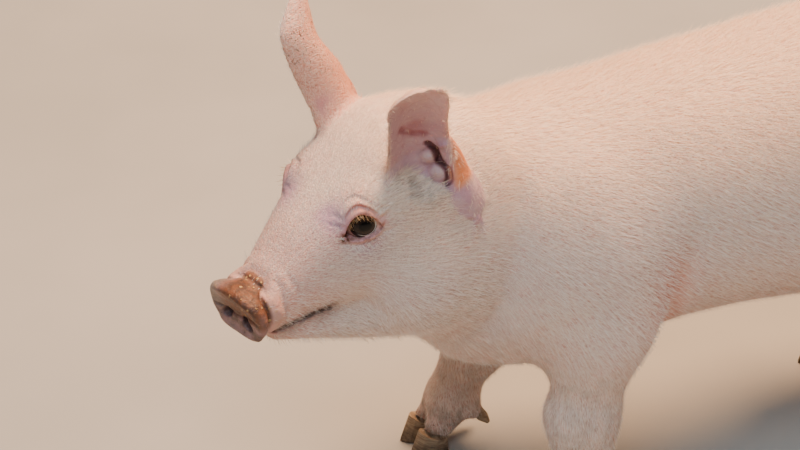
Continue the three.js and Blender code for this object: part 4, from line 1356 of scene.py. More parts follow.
@dataclass(frozen=True)
class SkinFinish:
    """Pale pink skin under fine flat hairs, with its rosy, mauve, soiled and bare places, painted warm light
    on top, painted backlight in the ears and painted shade in recesses, between hairs and underneath.
    """

    pale: Colour = tint(230, 206, 200)
    cream: Colour = tint(238, 218, 206)
    # The skin between the hairs: partly its own darker tone, partly painted shade between hairs.
    gap: Colour = tint(204, 162, 150)
    rosy: Colour = tint(222, 152, 138)
    mauve: Colour = tint(192, 150, 166)
    # Painted shade: grey on the far half of the disc's top.
    ash: Colour = tint(140, 128, 120)
    # Red of the veins, the ear's pocket and the lid edges, and painted shade in the ear's crease and round
    # its lumps.
    blood: Colour = tint(146, 52, 60)
    # Painted backlight: the orange of light shining through the thin ears.
    glow: Colour = tint(240, 140, 86)
    # Grey-brown of soiling, and of painted shade on the legs, underneath and under the chin.
    soil: Colour = tint(116, 110, 98)
    stain: Colour = tint(96, 58, 33)
    speck: Colour = tint(70, 46, 36)
    disc: Colour = tint(104, 80, 76)
    disc_light: Colour = tint(160, 124, 124)
    collar: Colour = tint(112, 66, 38)
    grime: Colour = tint(74, 48, 34)
    litter: Colour = tint(196, 158, 108)
    # A warm orange-pink: a little of it over the whole body is the skin's own tone; the rest, on the top, is
    # painted warm light.
    peach: Colour = tint(242, 196, 158)
    # Painted shade in recesses: nostrils, the mouth line and creases.
    deep: Colour = tint(42, 20, 20)
    hair: Colour = tint(252, 238, 222)

    def streaks(self, s: Shader) -> Socket:
        """Fine flat hairs, as a height whose grain follows the lie on each part of the body."""
        yaw = math.radians(FLESH.pose.yaw)
        back, flank, crown, cheek, leg = (
            s.noise(s.place(scale, turn), 1.0, 2.0)
            for scale, turn in (
                ((240, 1900, 1900), (0, 0.1, 0)), ((240, 1900, 1900), (0, 0.46, 0)),
                ((300, 2300, 2300), (0, 0.0, yaw)), ((300, 2300, 2300), (0, 0.45, yaw)),
                ((2100, 2100, 280), (0, 0, 0)),
            )
        )
        grey = s.mix(s.mask("sideways"), back, flank)
        grey = s.mix(s.mask("face"), grey, s.mix(s.mask("cheek"), crown, cheek))
        return s.mix(s.mask("leg"), grey, leg)

    def tissue(self, s: Shader, here: Socket, mottle: Socket) -> Socket:
        """The colour of the skin before hair and soiling, with painted warm light on the top of the body,
        painted backlight in the ears and painted shade in their crease.

        Args:
            s: The material's nodes.
            here: Places on the skin.
            mottle: Fine soft blotches.

        Returns:
            The colour.
        """
        cloud = s.noise(here, 28.0, 4.0)
        colour = s.mix(s.level(cloud, 0.35, 0.7), self.pale, self.cream)
        # Painted warm light: the body turns warmer towards its top, a quarter of the way low down and most
        # of the way on top, less on the face.
        height = s.add("ShaderNodeSeparateXYZ", {0: here}).outputs[2]
        body = s.math("SUBTRACT", 1.0, s.times(s.mask("face"), 0.7))
        colour = s.mix(s.times(body, s.level(height, 0.16, 0.22, 0.25, 0.85)), colour, self.peach)
        colour = s.mix(s.level(mottle, 0.48, 0.75, 0.0, 0.4), colour, self.rosy)
        rosy = s.times(s.mask("rosy"), s.level(mottle, 0.2, 0.6, 0.7, 1.0))
        colour = s.mix(rosy, colour, self.rosy)
        mauve = s.times(s.mask("mauve"), s.level(mottle, 0.25, 0.6, 0.75, 1.0))
        colour = s.mix(mauve, colour, self.mauve)
        # Painted backlight: the ears turn orange as if lit through from behind.
        colour = s.mix(s.mask("glow"), colour, self.glow)
        away = s.math("ABSOLUTE", s.math("SUBTRACT", s.noise(here, 62.0, 2.0), 0.5))
        vein = s.times(s.level(away, 0.016, 0.002, 0.0, 0.14), s.mask("veined"))
        colour = s.mix(vein, colour, self.blood)
        # Red, and painted shade in the ear's crease and round its lumps.
        return s.mix(s.mask("blood"), colour, self.blood)

    def make(self) -> bpy.types.Material:
        """Builds the material."""
        s = Shader("piglet_skin")
        here = s.place()
        mottle = s.noise(here, 160.0, 4.0)
        fine = s.noise(here, 900.0, 3.0)
        streak = self.streaks(s)
        coat = s.mask("covered")
        colour = self.tissue(s, here, mottle)
        # Between the hairs the skin is darker: partly its own tone, partly painted shade between hairs.
        between = s.times(s.level(streak, 0.48, 0.32, 0.0, 0.95), coat)
        colour = s.mix(between, colour, s.mix(0.5, colour, self.gap, "MULTIPLY"))
        hairs = s.times(s.level(streak, 0.48, 0.62, 0.0, 0.55), coat)
        colour = s.mix(hairs, colour, self.hair)
        disc = s.mix(s.level(mottle, 0.35, 0.65), self.disc, self.disc_light)
        colour = s.mix(s.mask("disc"), colour, disc)
        grime = s.level(s.noise(here, 330.0, 5.0), 0.42, 0.62)
        colour = s.mix(s.mask("collar"), colour, s.mix(grime, self.collar, self.grime))
        # Painted shade on the far half of the disc's top.
        colour = s.mix(s.mask("ashen"), colour, self.ash)
        crumbs = s.level(s.cells(here, 340.0), 0.3, 0.2)
        crumbs = s.times(crumbs, s.level(s.noise(here, 150.0, 3.0), 0.47, 0.56))
        colour = s.mix(s.times(crumbs, s.mask("collar")), colour, self.litter)
        # Soiling and painted shade: darker on the legs, underneath and under the chin.
        dirt_and_shade = s.times(s.mask("soil"), s.level(s.noise(here, 170.0, 6.0), 0.3, 0.66))
        colour = s.mix(dirt_and_shade, colour, self.soil)
        stain = s.times(s.mask("stain"), s.level(s.noise(here, 560.0, 4.0), 0.3, 0.6))
        colour = s.mix(stain, colour, self.stain)
        scratch = s.level(s.noise(s.place((900, 900, 260), (0.3, 0.4, 0)), 1.0, 2.0), 0.6, 0.65, 0.0, 0.9)
        colour = s.mix(s.times(scratch, s.mask("scratched")), colour, self.stain)
        specks = s.times(s.level(s.cells(here, 260.0), 0.16, 0.08), s.mask("specks"))
        colour = s.mix(specks, colour, self.speck)
        # Painted shade in the nostrils, the mouth line and the creases.
        colour = s.mix(s.mask("deep"), colour, self.deep)
        bare = s.math("SUBTRACT", 1.0, coat)
        pores = s.level(s.cells(here, 1500.0), 0.0, 0.45)
        folds = s.level(s.noise(here, 520.0, 5.0), 0.3, 0.7)
        normal = s.bump(s.times(streak, coat), 0.0008)
        normal = s.bump(s.times(pores, bare), 0.00010, normal)
        normal = s.bump(folds, 0.00018, normal)
        normal = s.bump(s.times(crumbs, s.mask("collar")), 0.0005, normal)
        dry = s.level(fine, 0.3, 0.7, 0.5, 0.64)
        rough = s.math("SUBTRACT", dry, s.times(s.mask("wet"), 0.3))
        return s.finish(
            Base_Color=colour, Roughness=rough, Normal=normal, Subsurface_Weight=0.2,
            Subsurface_Radius=(1.0, 0.42, 0.26), Subsurface_Scale=0.003, Specular_IOR_Level=0.3,
        )


@dataclass(frozen=True)
class HairFinish:
    """Fine pale hair, darker where it grows dark, where it is soiled and in painted shade underneath, and
    creamier on the top of the body as painted warm light.
    """

    pale: Colour = tint(252, 247, 243)
    # Painted warm light: hair on the top of the body is creamier.
    cream: Colour = tint(255, 226, 192)
    warm: Colour = tint(240, 220, 206)
    root: Colour = tint(220, 164, 148)
    dark: Colour = tint(52, 42, 38)
    soil: Colour = tint(138, 130, 120)

    def make(self, name: str) -> bpy.types.Material:
        """Builds the material."""
        s = Shader(name)
        axes = s.add("ShaderNodeSeparateXYZ", {0: s.place()}).outputs
        # Painted warm light: creamier hair on the top of the body, behind the head.
        body = s.times(s.level(axes[0], -0.2, -0.12), s.level(axes[2], 0.17, 0.23))
        light = s.mix(body, self.pale, self.cream)
        colour = s.mix(s.times(s.mask("shade"), 0.6), light, self.warm)
        grain = s.noise(s.place(), 170.0, 5.0)
        # Hair darker where soiled and in painted shade.
        colour = s.mix(s.times(s.mask("soil"), s.level(grain, 0.4, 0.6)), colour, self.soil)
        colour = s.mix(s.times(s.mask("dark"), s.level(grain, 0.25, 0.5)), colour, self.dark)
        colour = s.mix(s.level(s.mask("along"), 0.0, 0.6, 0.35, 0.0), colour, self.root)
        rough = s.level(grain, 0.3, 0.7, 0.4, 0.55)
        return s.finish(Base_Color=colour, Roughness=rough, Specular_IOR_Level=0.4)


@dataclass(frozen=True)
class EyeFinish:
    """A dark brown, moist eye with a pale ring round the cornea."""

    pupil: Colour = tint(5, 5, 7)
    iris: Colour = tint(22, 16, 14)
    iris_light: Colour = tint(52, 38, 32)
    ring: Colour = tint(206, 214, 214)
    white: Colour = tint(188, 150, 140)
    vein: Colour = tint(150, 70, 64)

    def make(self) -> bpy.types.Material:
        """Builds the material."""
        s = Shader("piglet_eye")
        gaze = s.add("ShaderNodeAttribute", {}, attribute_name="gaze").outputs["Vector"]
        parts = s.add("ShaderNodeSeparateXYZ", {0: gaze})
        wide, tall = parts.outputs[1], parts.outputs[2]
        r = s.diagonal(wide, tall)
        oval = s.diagonal(wide, s.times(tall, 1.35))
        angle = s.math("ARCTAN2", tall, wide)
        rays = s.add("ShaderNodeCombineXYZ", {0: s.times(angle, 7.0), 1: s.times(r, 3.0)})
        fibre = s.noise(rays.outputs[0], 3.0, 3.0)
        iris = s.mix(s.level(fibre, 0.35, 0.7), self.iris, self.iris_light)
        colour = s.mix(s.level(oval, 0.30, 0.36), self.pupil, iris)
        colour = s.mix(s.level(r, 0.62, 0.7), colour, self.iris)
        low = s.level(s.math("ADD", s.times(wide, 1.3), tall), 0.25, -0.35)
        rim = s.times(s.level(r, 0.5, 0.53), s.level(r, 0.6, 0.565))
        colour = s.mix(s.times(rim, low), colour, self.ring)
        veins = s.level(s.noise(s.place(), 900.0, 4.0), 0.5, 0.7, 0.0, 0.5)
        colour = s.mix(s.level(r, 0.7, 0.75), colour, s.mix(veins, self.white, self.vein))
        rough = s.level(fibre, 0.0, 1.0, 0.08, 0.14)
        return s.finish(
            Base_Color=colour, Roughness=rough, Specular_IOR_Level=0.05,
            Coat_Weight=0.75, Coat_Roughness=0.02, Coat_IOR=1.33,
        )


@dataclass(frozen=True)
class HornFinish:
    """Horn of young claws: amber grey, ringed across and soiled at the sole."""

    light: Colour = tint(176, 152, 124)
    dark: Colour = tint(138, 114, 92)
    soil: Colour = tint(66, 52, 42)

    def make(self) -> bpy.types.Material:
        """Builds the material."""
        s = Shader("claw_horn")
        rings = s.noise(s.place((200, 200, 1500), (0, 0.3, 0)), 1.0, 2.0)
        cloud = s.noise(s.place(), 220.0, 4.0)
        colour = s.mix(s.level(rings, 0.35, 0.65), self.dark, self.light)
        height = s.add("ShaderNodeSeparateXYZ", {0: s.place()}).outputs[2]
        low = s.times(s.level(height, 0.012, 0.001), s.level(cloud, 0.3, 0.6, 0.4, 1.0))
        colour = s.mix(low, colour, self.soil)
        normal = s.bump(rings, 0.0002, s.bump(cloud, 0.0002))
        return s.finish(Base_Color=colour, Roughness=s.level(cloud, 0.3, 0.7, 0.38, 0.6), Normal=normal)


@dataclass(frozen=True)
class FloorFinish:
    """A plain pale studio floor."""

    light: Colour = tint(178, 176, 171)
    dark: Colour = tint(170, 168, 163)

    def make(self) -> bpy.types.Material:
        """Builds the material."""
        s = Shader("studio_floor")
        colour = s.mix(s.level(s.noise(s.place(), 6.0, 3.0), 0.3, 0.7), self.light, self.dark)
        return s.finish(Base_Color=colour, Roughness=0.7, Specular_IOR_Level=0.2)


# ------------------------------------------------------------------ the skin


class Part(Enum):
    """Parts of the skin that carry coat pieces of their own."""

    FACE = 0
    NECK = 1
    FLANK = 2
    RUMP = 3
    LEGS = 4


@dataclass
class SkinMarks:
    """What every point of the skin carries: its lie, its coat and its colours."""

    surface: Surface
    normal: Array
    flesh: Flesh = FLESH
    tables: dict[str, Array] = field(default_factory=dict)
    h: Array = field(init=False)  # the points in the head's frame
    e: Array = field(init=False)  # the same, brought to the left half, in the eye's frame
    face: Array = field(init=False)  # 1 on the head
    cheek: Array = field(init=False)  # 1 on the lower part of the head
    sideways: Array = field(init=False)  # 1 where the skin looks sideways
    leg: Array = field(init=False)  # 1 on the legs
    ear: Array = field(init=False)  # 1 on the blades of the ears
    lobe: Array = field(init=False)  # 1 on their lobes
    flap: Array = field(init=False)  # 1 on the part of the lobe that the light shines through
    inner: Array = field(init=False)  # 1 on the bare skin in and under the ear
    ear_along: Array = field(init=False)  # from 0 at the blade's root to 1 at its tip
    ear_across: Array = field(init=False)  # -1 and 1 at its margins
    ear_rise: Array = field(init=False)  # the way from its root to its tip
    crease: Array = field(init=False)  # distances to the crease in the ear
    pocket: Array = field(init=False)  # distances to the middle of its pocket
    pocket_edge: Array = field(init=False)  # distances to the pocket's edge
    lumps: Array = field(init=False)  # distances to its nearest lump

    LILAC = ((13.6, 6.0), 9.0)  # the bare patch before the eye, in the eye's own plane, and its size

    def __post_init__(self) -> None:
        """Works out the head's coordinates and the broad zones."""
        _, side, height = np.abs(self.surface.points.T)
        self.h = self.flesh.pose.to_head(self.surface.points)
        self.e = self.flesh.head.socket.local(folded(self.h))
        self.face = ramp(self.h[:, 0], -22.0, 18.0)
        self.sideways = ramp(np.abs(self.normal[:, 1]), 0.35, 0.8)
        self.cheek = ramp(self.h[:, 2], 14.0, -16.0)
        self.leg = ramp(height, 118.0, 84.0) * ramp(side, 12.0, 22.0) * (1.0 - self.face)
        self.read_ears()

    def read_ears(self) -> None:
        """Finds the ears: how much a point is ear, and where it lies in the sheet."""
        count = len(self.h)
        self.ear, self.lobe, self.flap, self.inner = np.zeros((4, count))
        self.ear_along, self.ear_across = np.zeros((2, count))
        self.crease, self.pocket, self.pocket_edge, self.lumps = np.full((4, count), FAR)
        self.ear_rise = np.zeros((count, 3))
        axes = self.flesh.pose.axes()
        for side, ear in ear_shapes(0.0).items():
            own = self.h * side.flip
            near = ear.near(own)
            here, relief = own[near], ear.relief
            self.ear[near] = ear.share(here)
            self.lobe[near] = ramp(ear.lobe(here), 1.5, 0.6)
            spot = ear.blade.places(here)
            self.ear_along[near], self.ear_across[near] = spot.along, spot.across
            turned = (self.normal[near] @ axes.T) * side.flip
            self.inner[near] = relief.cup(here, turned, self.ear[near] * ramp(spot.off, -0.3, 0.3))
            hang = ear.lobe.places(here).along
            flap = self.lobe[near] * ramp(hang, 0.5, 0.38) * ramp(here[:, 0], 29.5, 26.0)
            self.flap[near] = flap
            rim = np.maximum(ramp(np.abs(spot.across), 0.82, 0.96), ramp(spot.along, 0.9, 0.97))
            rim *= self.ear[near]
            self.inner[near] *= (1.0 - flap) * (1.0 - 0.7 * rim)
            self.crease[near] = relief.from_line(here, relief.crease)
            self.pocket[near] = np.linalg.norm(here - np.array(relief.pocket), axis=1)
            self.pocket_edge[near] = relief.from_line(here, relief.pocket_edge)
            self.lumps[near] = relief.from_lumps(here)
            middle = ear.blade.levels()[0]
            rise = unit(np.gradient(middle, axis=0))
            stop = np.clip((spot.along * (len(rise) - 1)).astype(int), 0, len(rise) - 1)
            self.ear_rise[near] = rise[stop] * side.flip

    def lie(self) -> Array:
        """The way the hair points at every point, along the skin."""
        back, side, height = self.surface.points.T
        side = np.abs(side)
        n = self.normal
        axes = self.flesh.pose.axes()
        tilt = np.abs(n[:, 1])
        raw = np.stack([np.ones(len(n)), np.zeros(len(n)), -0.1 - 0.45 * tilt], axis=1)
        down = np.array([0.3, 0.0, -1.0])
        raw += (down - raw) * self.leg[:, None]
        shoulder = ramp(height, 175.0, 120.0) * tilt * ramp(back, -20.0, -60.0)
        raw += (down - raw) * (0.6 * shoulder * (1.0 - self.leg))[:, None]
        rearward = -axes[0] - axes[2] * (0.55 * self.cheek)[:, None]
        raw += (rearward - raw) * self.face[:, None]
        away = self.e.copy()
        away[:, 0] = 0.0
        radial = unit(away) @ self.flesh.head.socket.axes()
        radial[:, 1] *= np.sign(self.h[:, 1])
        ring = hump(np.linalg.norm(self.e, axis=1) - self.flesh.head.socket.radius, 7.0)
        raw += (radial @ axes - raw) * (0.75 * ring)[:, None]
        blade = np.maximum(self.ear, self.lobe)
        rise = self.ear_rise @ axes
        rise[self.lobe > self.ear] *= -1.0
        raw += (rise - raw) * blade[:, None]
        tail = ramp(back, 164.0, 172.0) * ramp(side, 12.0, 9.0) * ramp(height, 214.0, 204.0)
        raw += (np.array([0.1, 0.0, -1.0]) - raw) * tail[:, None]
        raw -= np.sum(raw * n, axis=1, keepdims=True) * n
        return unit(raw)

    def lash_lie(self) -> Array:
        """The way the lashes point: out from the lid, down over the eye and apart."""
        socket = self.flesh.head.socket
        apart = np.clip((self.e[:, 1] - socket.middle) / socket.half_width, -1.0, 1.0)
        drop = np.where(self.e[:, 2] > socket.canthus, -0.35, -0.3)
        raw = np.stack([0.8 * np.ones(len(self.e)), 0.35 * apart, drop], axis=1) @ socket.axes()
        raw[:, 1] *= np.sign(self.h[:, 1])
        return unit(raw @ self.flesh.pose.axes())

    def lashes(self) -> None:
        """Writes where lashes grow on the edges of the lids, and how long."""
        socket = self.flesh.head.socket
        out = self.opening()
        band = ramp(out, 0.15, 0.35) * ramp(out, 1.5, 1.0)
        upper = ramp(self.e[:, 2], socket.canthus + 1.0, socket.canthus + 2.5)
        inside = ramp(np.abs(self.e[:, 1] - socket.middle), socket.half_width, socket.half_width - 1.6)
        self.tables["lashy"] = np.clip(band * inside * (0.12 + upper), 0.0, 1.0)
        self.tables["lash_length"] = (1.8 + 1.9 * upper) * MM

    def coat(self) -> None:
        """Writes how long and how dense the coat grows."""
        back, side, height = self.surface.points.T
        side = np.abs(side)
        x, _, z = self.h.T
        disc = self.disc_mask()
        length = 6.2 + 1.4 * ramp(height, 180.0, 230.0)
        length += (4.8 - length) * self.leg
        length += (2.8 - length) * ramp(height, 50.0, 26.0)
        facial = 2.0 + 3.4 * ramp(x, 108.0, 40.0)
        length += (facial - length) * self.face
        length += (3.0 - length) * np.maximum(self.ear, self.lobe)
        r = np.linalg.norm(self.e, axis=1)
        length *= 1.0 - 0.45 * self.face * hump(r - 10.0, 5.0)
        dense = 1.0 + 0.6 * self.face * ramp(x, 20.0, 60.0) * ramp(x, 104.0, 84.0)
        dense *= 1.0 - 0.35 * ramp(self.normal[:, 2], -0.3, -0.8)
        dense *= 1.0 - 0.92 * self.inner
        dense *= 1.0 - 0.5 * self.ear
        dense *= 1.0 - 0.85 * self.lobe * (1.0 - self.ear)
        dense *= 1.0 - disc
        dense *= ramp(self.opening(), 0.8, 3.0) * (1.0 - 0.8 * self.lid())
        dense *= 1.0 - 0.94 * self.patch(*self.LILAC)
        dense *= 1.0 - 0.4 * self.face * hump(r - 9.5, 4.0)
        dense *= 1.0 - 0.9 * ramp(x, 106.0, 113.0) * self.face
        groin = hump(back + 40.0, 9.0) * ramp(height, 175.0, 140.0) * ramp(side, 20.0, 40.0)
        dense *= 1.0 - 0.5 * groin
        self.tables["hair_length"] = length * MM
        self.tables["dense"] = np.clip(dense, 0.0, 3.0)
        self.tables["covered"] = np.clip(dense, 0.0, 1.0) * (1.0 - disc)
        margin = ramp(np.abs(self.ear_across), 0.86, 0.99)
        edge = self.ear * np.maximum(margin, ramp(self.ear_along, 0.93, 0.99))
        top = ramp(height, 205.0, 225.0) * ramp(side, 30.0, 10.0) * (1.0 - self.face)
        brow = self.face * hump(self.e[:, 2] - 12.0, 4.0) * hump(self.e[:, 1], 9.0) * ramp(r, 22.0, 16.0)
        chin = self.face * ramp(z, -14.0, -24.0) * ramp(x, 20.0, 60.0)
        chin *= ramp(x, 112.0, 104.0)
        muzzle = self.face * ramp(x, 78.0, 92.0) * ramp(x, 112.0, 106.0)
        tail = ramp(back, 168.0, 174.0) * ramp(height, 190.0, 160.0)
        corner = self.mouth_hairs()
        self.tables["bristly"] = np.clip(
            5.0 * edge * (1.0 - self.flap) + 0.6 * top + 1.6 * brow + chin + 0.5 * muzzle + 2.0 * tail
            + 4.0 * corner, 0.0, 5.0
        ) * (1.0 - disc)
        long = 7.5 - 3.0 * self.face - 1.6 * np.maximum(self.ear, self.lobe) - 1.8 * corner
        self.tables["bristle_length"] = long * MM

    def mouth_hairs(self) -> Array:
        """1 where short dark hairs stand along the line of the mouth."""
        x, m = self.h[:, 0], self.h[:, 2] - self.flesh.head.mouth.height(self.h[:, 0])
        return self.face * hump(m - 0.6, 2.6) * ramp(x, 77.0, 84.0) * ramp(x, 116.0, 106.0)

    def opening(self) -> Array:
        """Distances from the edges of the lids, large away from the eyes."""
        socket = self.flesh.head.socket
        r = np.linalg.norm(self.e, axis=1)
        near = (r < 14.0) & (self.e[:, 0] > 1.0)
        return np.where(near, np.minimum(socket.opening(self.e), 20.0), 20.0)

    def lid(self) -> Array:
        """1 on the bare upper lid, up to the crease under the brow."""
        u, v = self.e[:, 1], self.e[:, 2]
        over = v - self.flesh.head.socket.edges(u)[0]
        band = ramp(over, 0.0, 1.0) * ramp(over, 6.2, 4.6) * ramp(np.abs(u), 12.5, 9.0)
        return band * ramp(self.e[:, 0], 0.0, 3.0) * ramp(np.linalg.norm(self.e, axis=1), 20.0, 17.0)

    def disc_mask(self) -> Array:
        """1 on the disc at the end of the snout."""
        start = self.flesh.head.disc.back + self.flesh.head.disc.groove * 0.8
        return ramp(self.h[:, 0], start - 0.8, start + 0.8) * ramp(self.h[:, 2], -16.5, -13.0) * self.face

    def patch(self, middle: tuple[float, float], size: float) -> Array:
        """A soft round patch at a place in the eye's own plane, on both sides of the face."""
        r = np.hypot(self.e[:, 1] - middle[0], self.e[:, 2] - middle[1])
        return hump(r, size) * ramp(self.e[:, 0], -6.0, 2.0) * self.face

    def colours(self) -> None:
        """Writes where the skin is rosy, mauve, soiled, wet and dark, and where light and shade are painted
        on it.
        """
        back, side, height = self.surface.points.T
        side = np.abs(side)
        h = self.h
        x, y, z = h.T
        disc = self.disc_mask()
        head = self.flesh.head
        inner = self.inner
        nearly = hump(self.opening(), 1.2)
        muzzle = self.face * ramp(x, 72.0, 100.0)
        elbow = hump(back + 44.0, 12.0) * ramp(height, 95.0, 110.0) * ramp(height, 178.0, 140.0)
        elbow *= ramp(side, 20.0, 40.0)
        under = ramp(self.normal[:, 2], -0.2, -0.8) * (1.0 - self.face)
        feet = ramp(height, 34.0, 16.0)
        tail = ramp(back, 158.0, 168.0)
        mouth = head.mouth
        m = z - mouth.height(x)
        lips = self.face * hump(m, 5.0) * ramp(x, 74.0, 86.0)
        rosy = 0.6 * muzzle + elbow + 0.3 * under + 0.35 * feet + 0.3 * tail + 0.9 * nearly
        rosy += 0.6 * self.patch((1.0, 11.5), 6.5) + 0.75 * self.lid() + 0.45 * self.ear * (1.0 - inner)
        rosy += 0.5 * self.patch((13.0, -3.0), 8.0) + 0.5 * self.patch((2.0, -7.5), 5.0)
        mauve = 1.1 * self.patch(*self.LILAC) + 0.7 * self.patch((0.0, -13.0), 9.0)
        hanging = 0.8 * self.lobe * (1.0 - self.ear) * (1.0 - self.flap)
        mauve += 0.85 * inner + hanging + 0.6 * lips * (1.0 - disc)
        mauve += 0.3 * self.patch((-12.0, -4.0), 8.0) - 0.5 * ramp(self.lumps, 3.4, 2.0) * inner
        mauve -= 0.4 * self.ear * inner * ramp(self.ear_along, 0.4, 0.8)
        # Painted backlight: the near lobe's flap, and the far ear's blade more towards its rear margin, turn
        # orange as if lit through from behind.
        left = np.where(y > 0.0, 1.0, 0.0)
        lit = 0.25 + 0.45 * ramp(self.ear_across, 0.6, -0.5)
        glow = 0.95 * self.flap * left + (1.0 - left) * self.ear * lit
        # Soiling by the eye, on the feet and lips; painted shade on the legs, underneath and under the chin.
        soil = 0.9 * self.patch((-27.0, 12.0), 8.0) + 0.5 * feet + 0.35 * self.patch((-34.0, 2.0), 6.0)
        soil += 0.5 * lips + 0.22 * self.leg + 0.3 * under
        soil += 0.15 * self.face * ramp(z, -16.0, -30.0)
        # Painted shade: the insides of the nostrils, the mouth line, the ear's crease and the crease across
        # the disc are darkened.
        holes = Near(head.disc.holes, (104, -20, -14), (135, 20, 12))(h)
        line = hump(m, 1.0) * ramp(x, 82.0, 90.0) * ramp(x, 123.0, 114.0) * self.face
        deep_hole = ramp(holes, 0.7, -0.1) * ramp(x, 127.0, 122.0)
        crease = inner * ramp(self.crease, 2.4, 1.3)
        pocket = inner * np.maximum(0.6 * hump(self.pocket, 5.5), hump(self.pocket_edge, 2.2))
        # Painted light and shade: the collar's orange-brown is kept mostly to the lit near half of the
        # snout, and the far half of the disc's top is painted grey as shade.
        lit_near_half = 1.0 - 0.75 * ramp(-y, 2.0, 10.0)
        top_collar = ramp(z, -4.0, 0.5) * lit_near_half * ramp(y, 22.0, 15.0)
        folds = ramp(x, 103.0, 114.0) * ramp(z, -8.0, 2.0) * self.face
        across = head.disc.across(h) * ramp(x, 118.0, 121.0)
        turn = np.arctan2(z - head.disc.middle, np.abs(y))
        plate = ramp(head.disc.ahead(h, turn), -0.3, 1.0) * ramp(turn, 0.2, 0.7) * self.face * (1.0 - disc)
        plate *= lit_near_half
        collar = 0.92 * disc * top_collar + 0.9 * plate + 0.3 * folds * (1.0 - disc) * (1.0 - plate)
        # Painted shadow: a dark ring round the lumps in the ear; with the crease this is painted shade,
        # while the pocket and the lid edges are the skin's own red.
        lump_shadow_ring = inner * hump(self.lumps - 4.3, 0.8) * ramp(self.crease, 9.0, 4.0)
        blood = 0.75 * pocket + 0.6 * crease + 0.3 * lump_shadow_ring
        blood += 0.35 * nearly * ramp(self.e[:, 1], 5.0, 9.0)
        socket = head.socket
        canthus = self.patch((socket.middle + socket.half_width + 1.0, socket.canthus - 2.2), 2.2)
        tables = {
            "rosy": rosy, "mauve": mauve, "glow": glow, "soil": soil, "blood": blood,
            "scratched": (1.0 - left) * self.ear * hump(self.ear_along - 0.6, 0.24),
            "ashen": 0.8 * disc * ramp(-y, 5.0, 12.0) * ramp(z, -6.0, 0.0),
            "disc": disc * (1.0 - 0.4 * top_collar), "collar": collar,
            "deep": deep_hole + 0.85 * line + 0.65 * crease + 0.42 * across + 0.25 * lump_shadow_ring,
            "stain": 1.2 * canthus + 0.5 * hump(self.opening() - 0.8, 0.9) + 0.35 * self.mouth_hairs(),
            "specks": disc * 0.5 + 0.5 * self.patch((18.0, -12.0), 5.0) + 0.7 * feet + 0.15 * self.ear,
            "wet": 0.5 * disc + 0.9 * nearly + 0.5 * deep_hole, "veined": np.maximum(self.ear, self.lobe),
            "dark": self.mouth_hairs() * 1.2, "face": self.face, "leg": self.leg,
            "sideways": self.sideways, "cheek": self.cheek,
        }
        self.tables.update({name: np.clip(value, 0.0, 1.0) for name, value in tables.items()})

    def parts(self) -> Array:
        """The coat piece that each triangle belongs to."""
        centre = self.surface.centres()
        corner = self.surface.triangles[:, 0]
        part = np.where(centre[:, 0] < 52.0, Part.FLANK.value, Part.RUMP.value)
        part[centre[:, 0] < -52.0] = Part.NECK.value
        part[centre[:, 2] < 92.0] = Part.LEGS.value
        part[self.face[corner] > 0.5] = Part.FACE.value
        return part

    def unwrap(self, part: Array) -> Array:
        """Lays every triangle flat in a tile of its own part and direction.

        Args:
            part: The coat piece of each triangle.

        Returns:
            Flat coordinates of each triangle's three corners, from 0 to 1.
        """
        corners = self.surface.points[self.surface.triangles]
        facing = np.cross(corners[:, 1] - corners[:, 0], corners[:, 2] - corners[:, 0])
        axis = np.argmax(np.abs(facing), axis=1)
        sign = np.take_along_axis(facing, axis[:, None], axis=1)[:, 0] > 0.0
        across = 6  # tiles in a row, one for each way a face can look
        tile = part * across + axis * 2 + sign
        flat = np.zeros((len(corners), 3, 2))
        for number in np.unique(tile):
            rows = np.flatnonzero(tile == number)
            keep = [m for m in range(3) if m != axis[rows[0]]]
            spot = corners[rows][:, :, keep]
            low = spot.min(axis=(0, 1))
            size = (spot.max(axis=(0, 1)) - low).max()
            column, row = number % across, number // across
            flat[rows] = (np.array([column, row]) + 0.05 + 0.9 * (spot - low) / size) / across
        return flat


